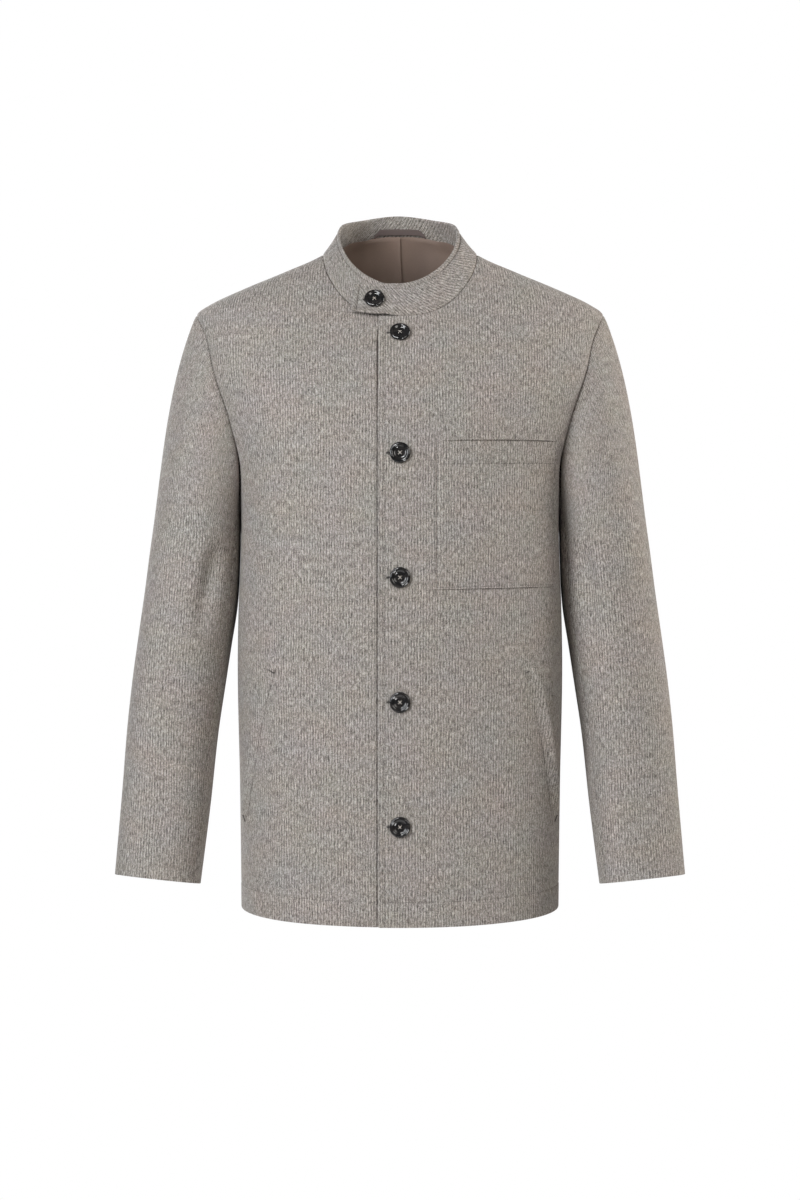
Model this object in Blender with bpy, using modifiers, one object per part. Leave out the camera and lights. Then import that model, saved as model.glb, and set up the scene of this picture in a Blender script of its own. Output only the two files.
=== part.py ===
"""Stand-collar blazer, filled out as worn: metres, +Z up, front towards -Y, wearer's left at +X.

The origin is the middle of the neck, level with the points where shoulder seams meet the collar.
"""
import math

import bmesh
import bpy
import numpy as np
from mathutils import Matrix, Vector
from mathutils.bvhtree import BVHTree

NAME = "blazer"

# Cloth walls and the spaces between them
CLOTH = 0.0016
COLLAR_CLOTH = 0.0022
TRIM_CLOTH = 0.0012
LINING_CLOTH = 0.0010
SEAM_GAP = 0.0003
LINING_GAP = 0.0006
PATCH_GAP = 0.0010
SEARCH_RISE = 0.010
LEAST_SLANT = 0.7
SHARP_EDGE = math.radians(50)

# Body: hem, underarm, and how far each front passes the centre line
HEM = -0.7368
HEM_DIP = 0.0074
UNDERARM = -0.285
LAP = 0.023
LAP_DROP = 0.0030
LAP_DROP_NEAR = math.radians(18)
LAP_DROP_FAR = math.radians(40)

# Sections of the body from hem to nape
TORSO_COLUMNS = ("height", "half_width", "front_depth", "back_depth", "square", "back_square")
TORSO = (
    (-0.745, 0.1790, 0.1340, 0.1360, 2.50, 2.50),
    (-0.600, 0.1810, 0.1350, 0.1310, 2.50, 2.50),
    (-0.450, 0.1835, 0.1370, 0.1260, 2.50, 2.50),
    (-0.400, 0.1825, 0.1380, 0.1270, 2.50, 2.50),
    (-0.350, 0.1805, 0.1390, 0.1295, 2.50, 2.50),
    (-0.300, 0.1800, 0.1390, 0.1330, 2.45, 2.45),
    (-0.250, 0.1850, 0.1370, 0.1365, 2.40, 2.40),
    (-0.194, 0.2035, 0.1320, 0.1380, 2.40, 2.40),
    (-0.131, 0.2260, 0.1100, 0.1330, 2.40, 2.40),
    (-0.100, 0.2310, 0.0930, 0.1255, 2.30, 2.30),
    (-0.080, 0.2330, 0.0805, 0.1180, 2.25, 2.25),
    (-0.068, 0.2310, 0.0730, 0.1130, 2.20, 2.20),
    (-0.057, 0.2150, 0.0660, 0.1090, 2.15, 2.15),
    (-0.039, 0.1768, 0.0545, 0.1030, 2.10, 2.10),
    (-0.020, 0.1315, 0.0405, 0.0985, 2.05, 2.20),
    (0.000, 0.0885, 0.0300, 0.0940, 2.00, 2.60),
    (0.015, 0.0770, 0.0260, 0.0900, 2.00, 3.00),
    (0.032, 0.0700, 0.0230, 0.0850, 2.00, 2.80),
    (0.060, 0.0640, 0.0200, 0.0760, 2.00, 2.70),
)

# Neck seam, an oval in plan laid onto the body
NECK_HALF = 0.0880
NECK_FRONT = 0.0800
NECK_BACK = 0.0843
NECK_SQUARE = 2.4
NECK_BACK_SQUARE = 2.4
NECK_SEARCH = (-0.120, 0.055)
NECK_SEARCH_STEPS = 40
LAP_TURN = math.asin(LAP / NECK_HALF)

# Armhole, an egg in side view laid onto the body
ARMHOLE_MIDDLE = -0.1765
ARMHOLE_HALF = 0.1085
ARMHOLE_FRONT = 0.061
ARMHOLE_BACK = 0.070
ARMHOLE_EGG = 0.15

# Sleeve sections from the upper arm to the cuff
SLEEVE_COLUMNS = ("height", "centre_x", "centre_y", "half_width", "half_depth", "tilt", "pitch")
SLEEVE = (
    (-0.3300, 0.2312, -0.003, 0.0499, 0.0680, 7.0, 0.0),
    (-0.3920, 0.2366, -0.006, 0.0523, 0.0660, 7.0, 2.0),
    (-0.4373, 0.2430, -0.010, 0.0520, 0.0625, 6.5, 4.0),
    (-0.4824, 0.2490, -0.016, 0.0516, 0.0585, 6.3, 6.0),
    (-0.5272, 0.2544, -0.022, 0.0507, 0.0545, 6.3, 7.0),
    (-0.6158, 0.2618, -0.034, 0.0493, 0.0480, 6.3, 7.0),
    (-0.7030, 0.2700, -0.046, 0.0474, 0.0435, 6.3, 7.0),
)
SLEEVE_SQUARE = 2.2
SLEEVE_FRONT_SEAM = math.radians(150)
SLEEVE_BACK_SEAM = math.radians(255)

# The way the sleeve cloth leaves the armhole seam
CAP_COLUMNS = ("quarter", "x", "y", "z")
CAP = (
    ("top", 0.38, 0.00, -0.92),
    ("front", 0.42, -0.30, -0.86),
    ("under", 0.10, 0.00, -1.00),
    ("back", 0.42, 0.30, -0.86),
)

# Top edge of the collar, and the tab that passes the front edge
COLLAR_SHIFT = -0.002
COLLAR_HALF = 0.0668
COLLAR_MIDDLE = 0.008
COLLAR_DEPTH = 0.068
COLLAR_SQUARE = 2.2
COLLAR_FOLD = 3.0
COLLAR_RISE = (0.01775, -0.0495, -0.00925)
COLLAR_SAG = 0.0042
TAB_LENGTH = 0.054
TAB_FALL = 0.0045
TAB_NARROWING = 54.5

# Patch pocket on the left front
POCKET_INNER = 0.0376
POCKET_OUTER = 0.170
POCKET_TOP = -0.220
POCKET_BOTTOM = -0.381
POCKET_LIFT = 0.004

# Hand-pocket welts, from the top of the mouth to its bottom
WELT_TOP = (0.147, -0.466)
WELT_BOTTOM = (0.174, -0.631)
WELT_WIDTH = 0.015
WELT_PACE_STEP = 0.01

# Buttons
BUTTON_RADIUS = 0.01125
BUTTON_TOP = -0.100
BUTTON_PITCH = 0.1339
FRONT_BUTTONS = 5
COLLAR_BUTTON_SHARE = 0.53
BUTTON_HOLE_RADIUS = 0.0010
BUTTON_HOLE_OFFSET = 0.0017
BUTTON_HOLES = 4
BUTTON_HOLE_SIDES = 6
BUTTON_HOLE_DEPTH = 0.02
BUTTON_MERGE = 0.00001
SEAT_TRIALS = 8
BUTTON_STEPS = 20
BUTTON_COLUMNS = ("radius", "height")
BUTTON_PROFILE = (
    (0.0000, 0.0021),
    (0.0056, 0.0021),
    (0.0077, 0.0036),
    (0.0095, 0.0039),
    (BUTTON_RADIUS, 0.0026),
    (0.0108, 0.0010),
    (0.0088, 0.0000),
    (0.0000, 0.0000),
)

# Hanging loop inside the back of the neck
LOOP_HALF_TURN = math.radians(22)
LOOP_LOW = 0.10
LOOP_FALL = 0.20
LOOP_END = 0.03
LOOP_HIGH = 0.40
LOOP_LEVEL_SHARE = 0.75
LOOP_SEAT = 0.0009
LOOP_STAND = 0.0015

# Lining of the back, as shares of the back panel
LINING_COLUMNS = 9
LINING_LOW = 0.05
LINING_HIGH = 2.95

# Rows and columns of each wall
FRONT_COLUMNS = 12
BACK_COLUMNS = 10
PANEL_ROWS = (8, 6, 8)
POCKET_COLUMNS = 18
POCKET_ROWS = 14
WELT_COLUMNS = 2
WELT_ROWS = 12
LOOP_COLUMNS = 12
CAP_ROWS = 8
ARM_ROWS = 10
COLLAR_ROWS = 3
TAB_COLUMNS = 4

FINISH_COLUMNS = ("red", "green", "blue", "roughness")
FINISHES = {
    "wool": (0.330, 0.300, 0.280, 0.90),
    "collar_wool": (0.325, 0.295, 0.275, 0.90),
    "lining": (0.120, 0.090, 0.073, 0.45),
    "loop": (0.100, 0.083, 0.077, 0.60),
    "horn": (0.020, 0.018, 0.018, 0.25),
}


def clear_scene():
    for item in list(bpy.data.objects):
        bpy.data.objects.remove(item, do_unlink=True)


def unit(vectors):
    return vectors / np.linalg.norm(vectors, axis=-1, keepdims=True)


def mix(start, end, share):
    return start + (end - start) * share


def ease(share):
    share = np.clip(share, 0.0, 1.0)
    return share * share * (3.0 - 2.0 * share)


def bend(start, end, leave, arrive, share):
    """Cubic from start to end with the given directions at both ends."""
    square = share * share
    cube = square * share
    first = start * (2 * cube - 3 * square + 1) + leave * (cube - 2 * square + share)
    return first + end * (3 * square - 2 * cube) + arrive * (cube - square)


def read_sections(table, height):
    """Every column of a table but its first, run smoothly through its rows."""
    rows = np.array(table)
    knots = rows[:, 0]
    values = rows[:, 1:]
    steps = np.diff(knots)[:, None]
    rises = np.diff(values, axis=0) / steps
    middle = (rises[:-1] * steps[1:] + rises[1:] * steps[:-1]) / (steps[1:] + steps[:-1])
    slopes = np.concatenate((rises[:1], middle, rises[-1:]))
    height = np.clip(height, knots[0], knots[-1])
    place = np.clip(np.searchsorted(knots, height, side="right") - 1, 0, len(knots) - 2)
    step = steps[place, 0]
    share = ((height - knots[place]) / step)[..., None]
    step = step[..., None]
    return bend(values[place], values[place + 1], slopes[place] * step, slopes[place + 1] * step, share)


def torso_section(height):
    """Half width, front and back depth, and front and back squareness at a height."""
    values = read_sections(TORSO, np.asarray(height, dtype=float))
    return tuple(values[..., place] for place in range(len(TORSO_COLUMNS) - 1))


def oval(angle, square):
    """Sine and cosine of an angle, pushed out to a rounded square."""
    sine = np.sin(angle)
    cosine = np.cos(angle)
    reach = (np.abs(sine) ** square + np.abs(cosine) ** square) ** (-1.0 / square)
    return sine * reach, cosine * reach


def torso(angle, height):
    """Body surface: angle 0 at centre front, a quarter turn at the left side."""
    half_width, front, back, square, back_square = torso_section(height)
    across, ahead = oval(angle, np.where(np.cos(angle) > 0, square, back_square))
    depth = np.where(ahead > 0, front, back)
    return np.stack((half_width * across, -depth * ahead, height + 0.0 * angle), axis=-1)


def normals(surface, first, second, step=0.001):
    """Unit normals of a surface of two parameters."""
    along_first = surface(first + step, second) - surface(first - step, second)
    along_second = surface(first, second + step) - surface(first, second - step)
    return unit(np.cross(along_first, along_second))


def angle_from_side(x, height):
    """Body angle on the front at a distance from the centre line."""
    half_width, _, _, square, _ = torso_section(height)
    across = np.abs(x) / half_width
    ahead = (1.0 - across ** square) ** (1.0 / square)
    return np.sign(x) * np.arctan2(across, ahead)


def angle_from_depth(y, height):
    """Body angle on the left half at a distance before or behind the shoulder line."""
    _, front, back, square, back_square = torso_section(height)
    square = np.where(y < 0, square, back_square)
    ahead = np.abs(y) / np.where(y < 0, front, back)
    across = (1.0 - np.clip(ahead, 0.0, 1.0) ** square) ** (1.0 / square)
    return np.arctan2(across, np.where(y < 0, ahead, -ahead))


def neckline(turn):
    """Body angle and height of the neck seam, turn 0 at centre front and half a turn at the nape."""
    shown = np.maximum(turn, 0.0)
    across, ahead = oval(shown, np.where(np.cos(shown) > 0, NECK_SQUARE, NECK_BACK_SQUARE))
    x = NECK_HALF * across
    y = np.where(ahead > 0, NECK_FRONT, NECK_BACK) * ahead
    low = np.full_like(x, NECK_SEARCH[0])
    high = np.full_like(x, NECK_SEARCH[1])
    for _ in range(NECK_SEARCH_STEPS):
        middle = (low + high) / 2
        half_width, front, back, square, back_square = torso_section(middle)
        depth = np.where(ahead > 0, front, back)
        square = np.where(ahead > 0, square, back_square)
        inside = (x / half_width) ** square + np.abs(y / depth) ** square < 1.0
        low = np.where(inside, middle, low)
        high = np.where(inside, high, middle)
    half_width, front, back, _, _ = torso_section(low)
    angle = np.arctan2(x / half_width, y / np.where(ahead > 0, front, back))
    return np.where(turn < 0, angle_from_side(NECK_HALF * np.sin(turn), low), angle), low


def armhole(turn):
    """Body angle and height of the armhole seam, turn 0 at the shoulder, positive to the front."""
    height = ARMHOLE_MIDDLE + ARMHOLE_HALF * np.cos(turn)
    width = np.where(np.sin(turn) > 0, ARMHOLE_FRONT, ARMHOLE_BACK)
    y = -width * np.sin(turn) * (1.0 - ARMHOLE_EGG * np.cos(turn))
    return angle_from_depth(y, height), height


def panel_place(share, level, front):
    """Body angle and height in a panel: share 0 at its centre edge, level 0 hem to 3 shoulder seam."""
    low = np.clip(level, 0.0, 1.0)
    middle = np.clip(level - 1.0, 0.0, 1.0)
    high = np.clip(level - 2.0, 0.0, 1.0)
    centre_turn = -LAP_TURN if front else math.pi
    neck_angle, neck_height = neckline(mix(centre_turn, math.pi / 2, high))
    corner_height = neckline(np.full_like(high, centre_turn))[1]
    edge_height = mix(mix(HEM, UNDERARM, low), corner_height, middle)
    edge_angle = angle_from_side(-LAP, edge_height) if front else np.full_like(low, math.pi)
    inner_angle = np.where(level > 2.0, neck_angle, edge_angle)
    inner_height = np.where(level > 2.0, neck_height, edge_height)
    arm_angle, arm_height = armhole(armhole_turn(level, front))
    outer_angle = np.where(level > 1.0, arm_angle, math.pi / 2)
    outer_height = np.where(level > 1.0, arm_height, mix(HEM, UNDERARM, low))
    angle = mix(inner_angle, outer_angle, share)
    dip = HEM_DIP * np.maximum(np.cos(angle), 0.0) ** 2 * (1.0 - low)
    return angle, mix(inner_height, outer_height, share) - dip


def armhole_turn(level, front):
    """Place on the armhole seam that a panel level meets."""
    turn = math.pi * (1.0 - np.clip((level - 1.0) / 2.0, 0.0, 1.0))
    return turn if front else -turn


def panel_levels():
    parts = [np.linspace(band, band + 1, rows, endpoint=False) for band, rows in enumerate(PANEL_ROWS)]
    return np.concatenate(parts + [np.array([float(len(PANEL_ROWS))])])


def sleeve_turns(first, last):
    """Columns of a sleeve piece, at the places where the body panels have their rows."""
    levels = panel_levels()
    front = armhole_turn(levels[levels >= 1.0], True)
    every = np.concatenate((-front, front[::-1], 2 * math.pi - front))
    every = np.unique(np.round(every, 9))
    return every[(every > first - 1e-6) & (every < last + 1e-6)]


def lap_drop(angle):
    """How far the cloth that lies underneath is set in near the centre front."""
    return LAP_DROP * (1.0 - ease((angle - LAP_DROP_NEAR) / (LAP_DROP_FAR - LAP_DROP_NEAR)))


def sleeve_start(turn):
    """Direction of the sleeve cloth where it leaves the armhole."""
    ways = {row[0]: np.array(row[1:]) for row in CAP}
    up = np.cos(turn)[..., None]
    ahead = np.sin(turn)[..., None]
    top = np.maximum(up, 0.0) ** 2 * ways["top"] + np.maximum(-up, 0.0) ** 2 * ways["under"]
    side = np.maximum(ahead, 0.0) ** 2 * ways["front"] + np.maximum(-ahead, 0.0) ** 2 * ways["back"]
    return unit(top + side)


def sleeve_ring(row, turn):
    """One section of the left sleeve, its plane tilted sideways and pitched up at the front."""
    height, centre_x, centre_y, half_width, half_depth, tilt, pitch = row
    ahead, outward = oval(turn, SLEEVE_SQUARE)
    x = half_width * outward
    y = -half_depth * ahead
    z = height + x * math.tan(math.radians(tilt)) - y * math.tan(math.radians(pitch))
    return np.stack((centre_x + x, centre_y + y, z), axis=-1)


def sleeve(turn, along):
    """Left sleeve: turn 0 outside and a quarter turn in front, along 0 at the armhole, 1 at each section."""
    stations = np.stack([torso(*armhole(turn))] + [sleeve_ring(row, turn) for row in SLEEVE])
    spans = np.diff(stations, axis=0)
    lengths = np.linalg.norm(spans, axis=-1, keepdims=True)
    rises = spans / lengths
    middle = (rises[:-1] * lengths[1:] + rises[1:] * lengths[:-1]) / (lengths[1:] + lengths[:-1])
    slopes = np.concatenate((sleeve_start(turn)[None], middle, rises[-1:]))
    along = np.clip(along, 0.0, len(SLEEVE))
    place = np.minimum(along.astype(int), len(SLEEVE) - 1)
    share = (along - place)[..., None]

    def pick(values, offset=0):
        return np.take_along_axis(values, (place + offset)[None, ..., None], axis=0)[0]

    length = pick(lengths)
    return bend(pick(stations), pick(stations, 1), pick(slopes) * length, pick(slopes, 1) * length, share)


def seam_directions(own, other):
    """Directions through the wall at a seam, shared by both walls except in a deep fold."""
    facing = np.sum(own * other, axis=-1, keepdims=True)
    return unit(own + other * np.minimum(1.0, 1.0 + facing))


def through(directions, normal, thickness):
    """Vectors through a wall that keep its thickness along a slanting direction."""
    slant = np.clip(np.sum(directions * normal, axis=-1, keepdims=True), LEAST_SLANT, 1.0)
    return directions * thickness / slant


def trim(points):
    """Draw every edge of a grid of points in by half a seam gap."""
    lines = ((points[0], points[1]), (points[-1], points[-2]))
    sides = ((points[:, 0], points[:, 1]), (points[:, -1], points[:, -2]))
    for edge, neighbour in lines + sides:
        course = unit(np.gradient(edge, axis=0))
        inward = neighbour - edge
        inward = inward - course * np.sum(inward * course, axis=-1, keepdims=True)
        edge += unit(inward) * SEAM_GAP / 2
    return points


def make_material(finish):
    red, green, blue, roughness = FINISHES[finish]
    material = bpy.data.materials.new(finish)
    material.use_nodes = True
    shader = material.node_tree.nodes["Principled BSDF"]
    shader.inputs["Base Color"].default_value = (red, green, blue, 1.0)
    shader.inputs["Roughness"].default_value = roughness
    shader.inputs["Metallic"].default_value = 0.0
    material.diffuse_color = (red, green, blue, 1.0)
    return material


def add_object(name, mesh, finish, collection):
    mesh.materials.clear()
    mesh.materials.append(bpy.data.materials.get(finish) or make_material(finish))
    mesh.shade_smooth()
    mesh.set_sharp_from_angle(angle=SHARP_EDGE)
    item = bpy.data.objects.new(name, mesh)
    collection.objects.link(item)
    return item


def make_wall(name, outer, inner, finish, collection, side=1):
    """Cloth wall: a flat grid is extruded once, then both of its faces take their shape."""
    rows, columns = outer.shape[:2]
    sheet = bmesh.new()
    bmesh.ops.create_grid(sheet, x_segments=columns - 1, y_segments=rows - 1, size=1.0)
    made = bmesh.ops.extrude_face_region(sheet, geom=sheet.faces[:])
    lining = {item for item in made["geom"] if isinstance(item, bmesh.types.BMVert)}
    for vertex in sheet.verts:
        column = round((vertex.co.x + 1) / 2 * (columns - 1))
        row = round((vertex.co.y + 1) / 2 * (rows - 1))
        place = inner[row, column] if vertex in lining else outer[row, column]
        vertex.co = (place[0] * side, place[1], place[2])
    bmesh.ops.recalc_face_normals(sheet, faces=sheet.faces[:])
    if sheet.calc_volume(signed=True) < 0.0:
        bmesh.ops.reverse_faces(sheet, faces=sheet.faces[:])
    bmesh.ops.triangulate(sheet, faces=sheet.faces[:], quad_method="SHORT_EDGE")
    mesh = bpy.data.meshes.new(name)
    sheet.to_mesh(mesh)
    sheet.free()
    return add_object(name, mesh, finish, collection)


def make_body_panel(name, front, columns, collection, side, under=False):
    """Front or back, from hem to shoulder seam and from its centre edge to side seam and armhole."""
    share, level = np.meshgrid(np.linspace(0, 1, columns + 1), panel_levels())
    angle, height = panel_place(share, level, front)
    normal = normals(torso, angle, height)
    outer = torso(angle, height)
    if under:
        outer = outer - normal * lap_drop(angle)[..., None]
    directions = normal.copy()
    turn = armhole_turn(level[:, -1], front)
    sleeve_normal = normals(sleeve, turn, np.zeros_like(turn))
    seam = seam_directions(normal[:, -1], sleeve_normal)
    directions[:, -1] = np.where(level[:, -1:] > 1.0, seam, normal[:, -1])
    outer = trim(outer)
    inner = outer - through(directions, normal, CLOTH)
    return make_wall(name, outer, inner, "wool", collection, side)


def make_lining(name, collection, side):
    levels = np.clip(panel_levels(), LINING_LOW, LINING_HIGH)
    share, level = np.meshgrid(np.arange(LINING_COLUMNS + 1) / BACK_COLUMNS, levels)
    angle, height = panel_place(share, level, False)
    normal = normals(torso, angle, height)
    outer = trim(torso(angle, height) - normal * (CLOTH + LINING_GAP))
    return make_wall(name, outer, outer - normal * LINING_CLOTH, "lining", collection, side)


def make_sleeve_part(name, first_turn, last_turn, collection, side):
    cap = np.linspace(0, 1, CAP_ROWS, endpoint=False)
    arm = np.linspace(1, len(SLEEVE), ARM_ROWS + 1)
    turn, along = np.meshgrid(sleeve_turns(first_turn, last_turn), np.concatenate((cap, arm)))
    normal = normals(sleeve, turn, along)
    directions = normal.copy()
    body_normal = normals(torso, *armhole(turn[0]))
    directions[0] = seam_directions(normal[0], body_normal)
    outer = trim(sleeve(turn, along))
    folded = 0.5 - 0.5 * np.sum(normal[0] * body_normal, axis=-1, keepdims=True)
    outer[0] += body_normal * folded * SEAM_GAP
    inner = outer - through(directions, normal, CLOTH)
    return make_wall(name, outer, inner, "wool", collection, side)


def collar_top(turn):
    """Top edge of the collar, turn 0 at centre front and positive to the left side."""
    level, first, second = COLLAR_RISE
    across, ahead = oval(turn, COLLAR_SQUARE)
    x = COLLAR_SHIFT + COLLAR_HALF * across
    y = COLLAR_MIDDLE - COLLAR_DEPTH * ahead
    sag = COLLAR_SAG * np.sin(2 * turn) ** 2 * (np.cos(turn) < 0)
    return np.stack((x, y, level + first * np.cos(turn) + second * np.cos(2 * turn) - sag), axis=-1)


def neck_point(turn):
    """Neck seam from under the left front, by the right side and the nape, to the left front's edge."""
    right = torso(*neckline(np.minimum(turn, math.pi))) * np.array((-1.0, 1.0, 1.0))
    left = torso(*neckline(np.minimum(2 * math.pi - turn, math.pi)))
    return np.where((turn < math.pi)[..., None], right, left)


def collar_ring(turn, share):
    """Collar band, share 0 at the neck seam and 1 at its top edge."""
    return mix(neck_point(turn), collar_top(-turn), share[..., None])


def collar_tab(turn, share):
    """Tab past centre front: its low edge runs straight on over the right front."""
    past = np.maximum(NECK_HALF * np.sin(turn), 0.0)
    reach = np.maximum(past - LAP, 0.0) / (TAB_LENGTH - LAP)
    height = neckline(np.zeros_like(turn))[1] + TAB_FALL * reach ** 2
    low = torso(angle_from_side(-past, height), height)
    top_share = 1.0 - (np.degrees(turn) / TAB_NARROWING) ** 2
    return mix(low, collar_ring(turn, top_share), share[..., None])


def collar(turn, share):
    """Whole collar: starts under the left front, runs round the neck and ends in the tab."""
    tab = collar_tab(np.maximum(turn - 2 * math.pi, 0.0), share)
    return np.where((turn > 2 * math.pi)[..., None], tab, collar_ring(turn, share))


def collar_end():
    return 2 * math.pi + math.asin(TAB_LENGTH / NECK_HALF)


def collar_turns():
    """Columns of the collar, at the places where the body panels have their rows."""
    front = np.linspace(-LAP_TURN, math.pi / 2, PANEL_ROWS[-1] + 1)
    back = np.linspace(math.pi / 2, math.pi, PANEL_ROWS[-1] + 1)
    right = np.concatenate((front, back[1:]))
    left = 2 * math.pi - right[-2::-1]
    tab = np.linspace(left[-1], collar_end(), TAB_COLUMNS + 1)
    return np.concatenate((right, left, tab[1:]))


def collar_base(turn, normal):
    """Directions through the collar at the neck seam, those of the back panels behind the shoulders."""
    left = turn > math.pi
    body = normals(torso, *neckline(np.clip(np.where(left, 2 * math.pi - turn, turn), 0.0, math.pi)))
    body[:, 0] *= np.where(left, 1.0, -1.0)
    return unit(mix(normal, body, ease(-COLLAR_FOLD * np.cos(turn))[:, None]))


def make_collar(collection):
    turn, share = np.meshgrid(collar_turns(), np.linspace(0, 1, COLLAR_ROWS + 1))
    normal = -normals(collar, turn, share)
    under = np.where(turn < math.pi, lap_drop(neckline(np.minimum(turn, math.pi))[0]), 0.0)
    outer = trim(collar(turn, share) - normal * under[..., None])
    outer[0] += unit(outer[1] - outer[0]) * SEAM_GAP / 2
    directions = normal.copy()
    directions[0] = collar_base(turn[0], normal[0])
    inner = outer - through(directions, normal, COLLAR_CLOTH)
    return make_wall("collar", outer, inner, "collar_wool", collection)


def make_loop(collection):
    """Strip across the inside back of the collar, its ends turned down into the neck seam."""
    places = np.linspace(-1, 1, LOOP_COLUMNS + 1)
    turns = math.pi + places * LOOP_HALF_TURN
    fall = ease((np.abs(places) - LOOP_LEVEL_SHARE) / (1.0 - LOOP_LEVEL_SHARE)) * LOOP_FALL
    rows = np.stack((np.maximum(LOOP_LOW - fall, LOOP_END), LOOP_HIGH - fall))
    turn = np.stack((turns, turns))
    normal = -normals(collar, turn, rows)
    stand = LOOP_SEAT + LOOP_STAND * (1.0 - np.stack((places, places)) ** 2)
    outer = collar(turn, rows) - normal * (COLLAR_CLOTH + stand)[..., None]
    return make_wall("hanging_loop", outer, outer - normal * TRIM_CLOTH, "loop", collection)


def wall_tree(carrier):
    mesh = carrier.data
    faces = [face.vertices for face in mesh.polygons]
    return BVHTree.FromPolygons([vertex.co for vertex in mesh.vertices], faces)


def make_patch(name, angle, height, carrier, collection, side=1):
    """Cloth piece that lies on a front, laid onto the front's own face and moved out."""
    mirror = np.array((side, 1.0, 1.0))
    normal = normals(torso, angle, height) * mirror
    above = torso(angle, height) * mirror + normal * SEARCH_RISE
    tree = wall_tree(carrier)
    seat = np.empty_like(above)
    for place in np.ndindex(angle.shape):
        seat[place] = tree.ray_cast(Vector(above[place]), Vector(-normal[place]))[0]
    seat += normal * PATCH_GAP
    return make_wall(name, seat + normal * TRIM_CLOTH, seat, "wool", collection)


def make_chest_pocket(front, collection):
    share, level = np.meshgrid(np.linspace(0, 1, POCKET_COLUMNS + 1), np.linspace(0, 1, POCKET_ROWS + 1))
    height = mix(POCKET_BOTTOM, POCKET_TOP, level)
    inner = angle_from_side(POCKET_INNER, height)
    outer = angle_from_side(POCKET_OUTER, height)
    height = height + POCKET_LIFT * share
    return make_patch("chest_pocket", mix(inner, outer, share), height, front, collection)


def make_welt(name, front, collection, side):
    share, along = np.meshgrid(np.linspace(0, 1, WELT_COLUMNS + 1), np.linspace(0, 1, WELT_ROWS + 1))
    height = mix(WELT_TOP[1], WELT_BOTTOM[1], along)
    first = angle_from_side(np.array(WELT_TOP[0]), np.array(WELT_TOP[1]))
    last = angle_from_side(np.array(WELT_BOTTOM[0]), np.array(WELT_BOTTOM[1]))
    edge = mix(first, last, along)
    reach = torso(edge + WELT_PACE_STEP, height) - torso(edge - WELT_PACE_STEP, height)
    pace = np.linalg.norm(reach, axis=-1) / (2 * WELT_PACE_STEP)
    return make_patch(name, edge - (1.0 - share) * WELT_WIDTH / pace, height, front, collection, side)


def make_button_mesh():
    """Turned button with a raised rim and four holes."""
    profile = bpy.data.meshes.new("button_profile")
    points = [(radius, 0.0, height) for radius, height in BUTTON_PROFILE]
    profile.from_pydata(points, [(place, place + 1) for place in range(len(points) - 1)], [])
    turned = bpy.data.objects.new("button_blank", profile)
    bpy.context.scene.collection.objects.link(turned)
    screw = turned.modifiers.new("turn", "SCREW")
    screw.steps = BUTTON_STEPS
    screw.render_steps = BUTTON_STEPS
    screw.use_merge_vertices = True
    screw.merge_threshold = BUTTON_MERGE
    holes = bmesh.new()
    for place in range(BUTTON_HOLES):
        turn = (place + 0.5) * 2 * math.pi / BUTTON_HOLES
        spot = Vector((math.cos(turn), math.sin(turn), 0.0)) * BUTTON_HOLE_OFFSET * math.sqrt(2)
        bmesh.ops.create_cone(holes, cap_ends=True, segments=BUTTON_HOLE_SIDES, radius1=BUTTON_HOLE_RADIUS,
                              radius2=BUTTON_HOLE_RADIUS, depth=BUTTON_HOLE_DEPTH,
                              matrix=Matrix.Translation(spot))
    cutter_mesh = bpy.data.meshes.new("button_holes")
    holes.to_mesh(cutter_mesh)
    holes.free()
    cutter = bpy.data.objects.new("button_holes", cutter_mesh)
    bpy.context.scene.collection.objects.link(cutter)
    cut = turned.modifiers.new("holes", "BOOLEAN")
    cut.object = cutter
    seen = turned.evaluated_get(bpy.context.evaluated_depsgraph_get())
    mesh = bpy.data.meshes.new_from_object(seen)
    mesh.name = "button"
    bpy.data.objects.remove(turned, do_unlink=True)
    bpy.data.objects.remove(cutter, do_unlink=True)
    return mesh


def seat_button(name, mesh, point, normal, carrier, collection):
    """Place a button flat on the cloth that carries it, clear of it all round."""
    normal = Vector(normal)
    across = Vector((1, 0, 0)) - normal * normal.x
    across.normalize()
    turn = Matrix((across, normal.cross(across), normal)).transposed()
    tree = wall_tree(carrier)
    start = Vector(point) + normal * SEARCH_RISE
    rises = []
    for place in range(SEAT_TRIALS + 1):
        angle = place * 2 * math.pi / SEAT_TRIALS
        reach = BUTTON_RADIUS if place < SEAT_TRIALS else 0.0
        spot = start + turn @ Vector((math.cos(angle), math.sin(angle), 0.0)) * reach
        hit = tree.ray_cast(spot, -normal)[0]
        if hit is not None:
            rises.append((hit - Vector(point)).dot(normal))
    seat = Vector(point) + normal * (max(rises) + SEAM_GAP)
    item = add_object(name, mesh, "horn", collection)
    item.matrix_world = Matrix.Translation(seat) @ turn.to_4x4()
    return item


def make_buttons(front, collar_item, collection):
    mesh = make_button_mesh()
    for place in range(FRONT_BUTTONS):
        height = np.array(BUTTON_TOP - place * BUTTON_PITCH)
        centre = np.array(0.0)
        seat_button(f"front_button_{place + 1}", mesh, torso(centre, height),
                    normals(torso, centre, height), front, collection)
    turn = np.array(mix(2 * math.pi, collar_end(), COLLAR_BUTTON_SHARE))
    share = np.array(0.5)
    normal = -normals(collar, turn, share)
    seat_button("collar_button", mesh, collar(turn, share), normal, collar_item, collection)


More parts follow.
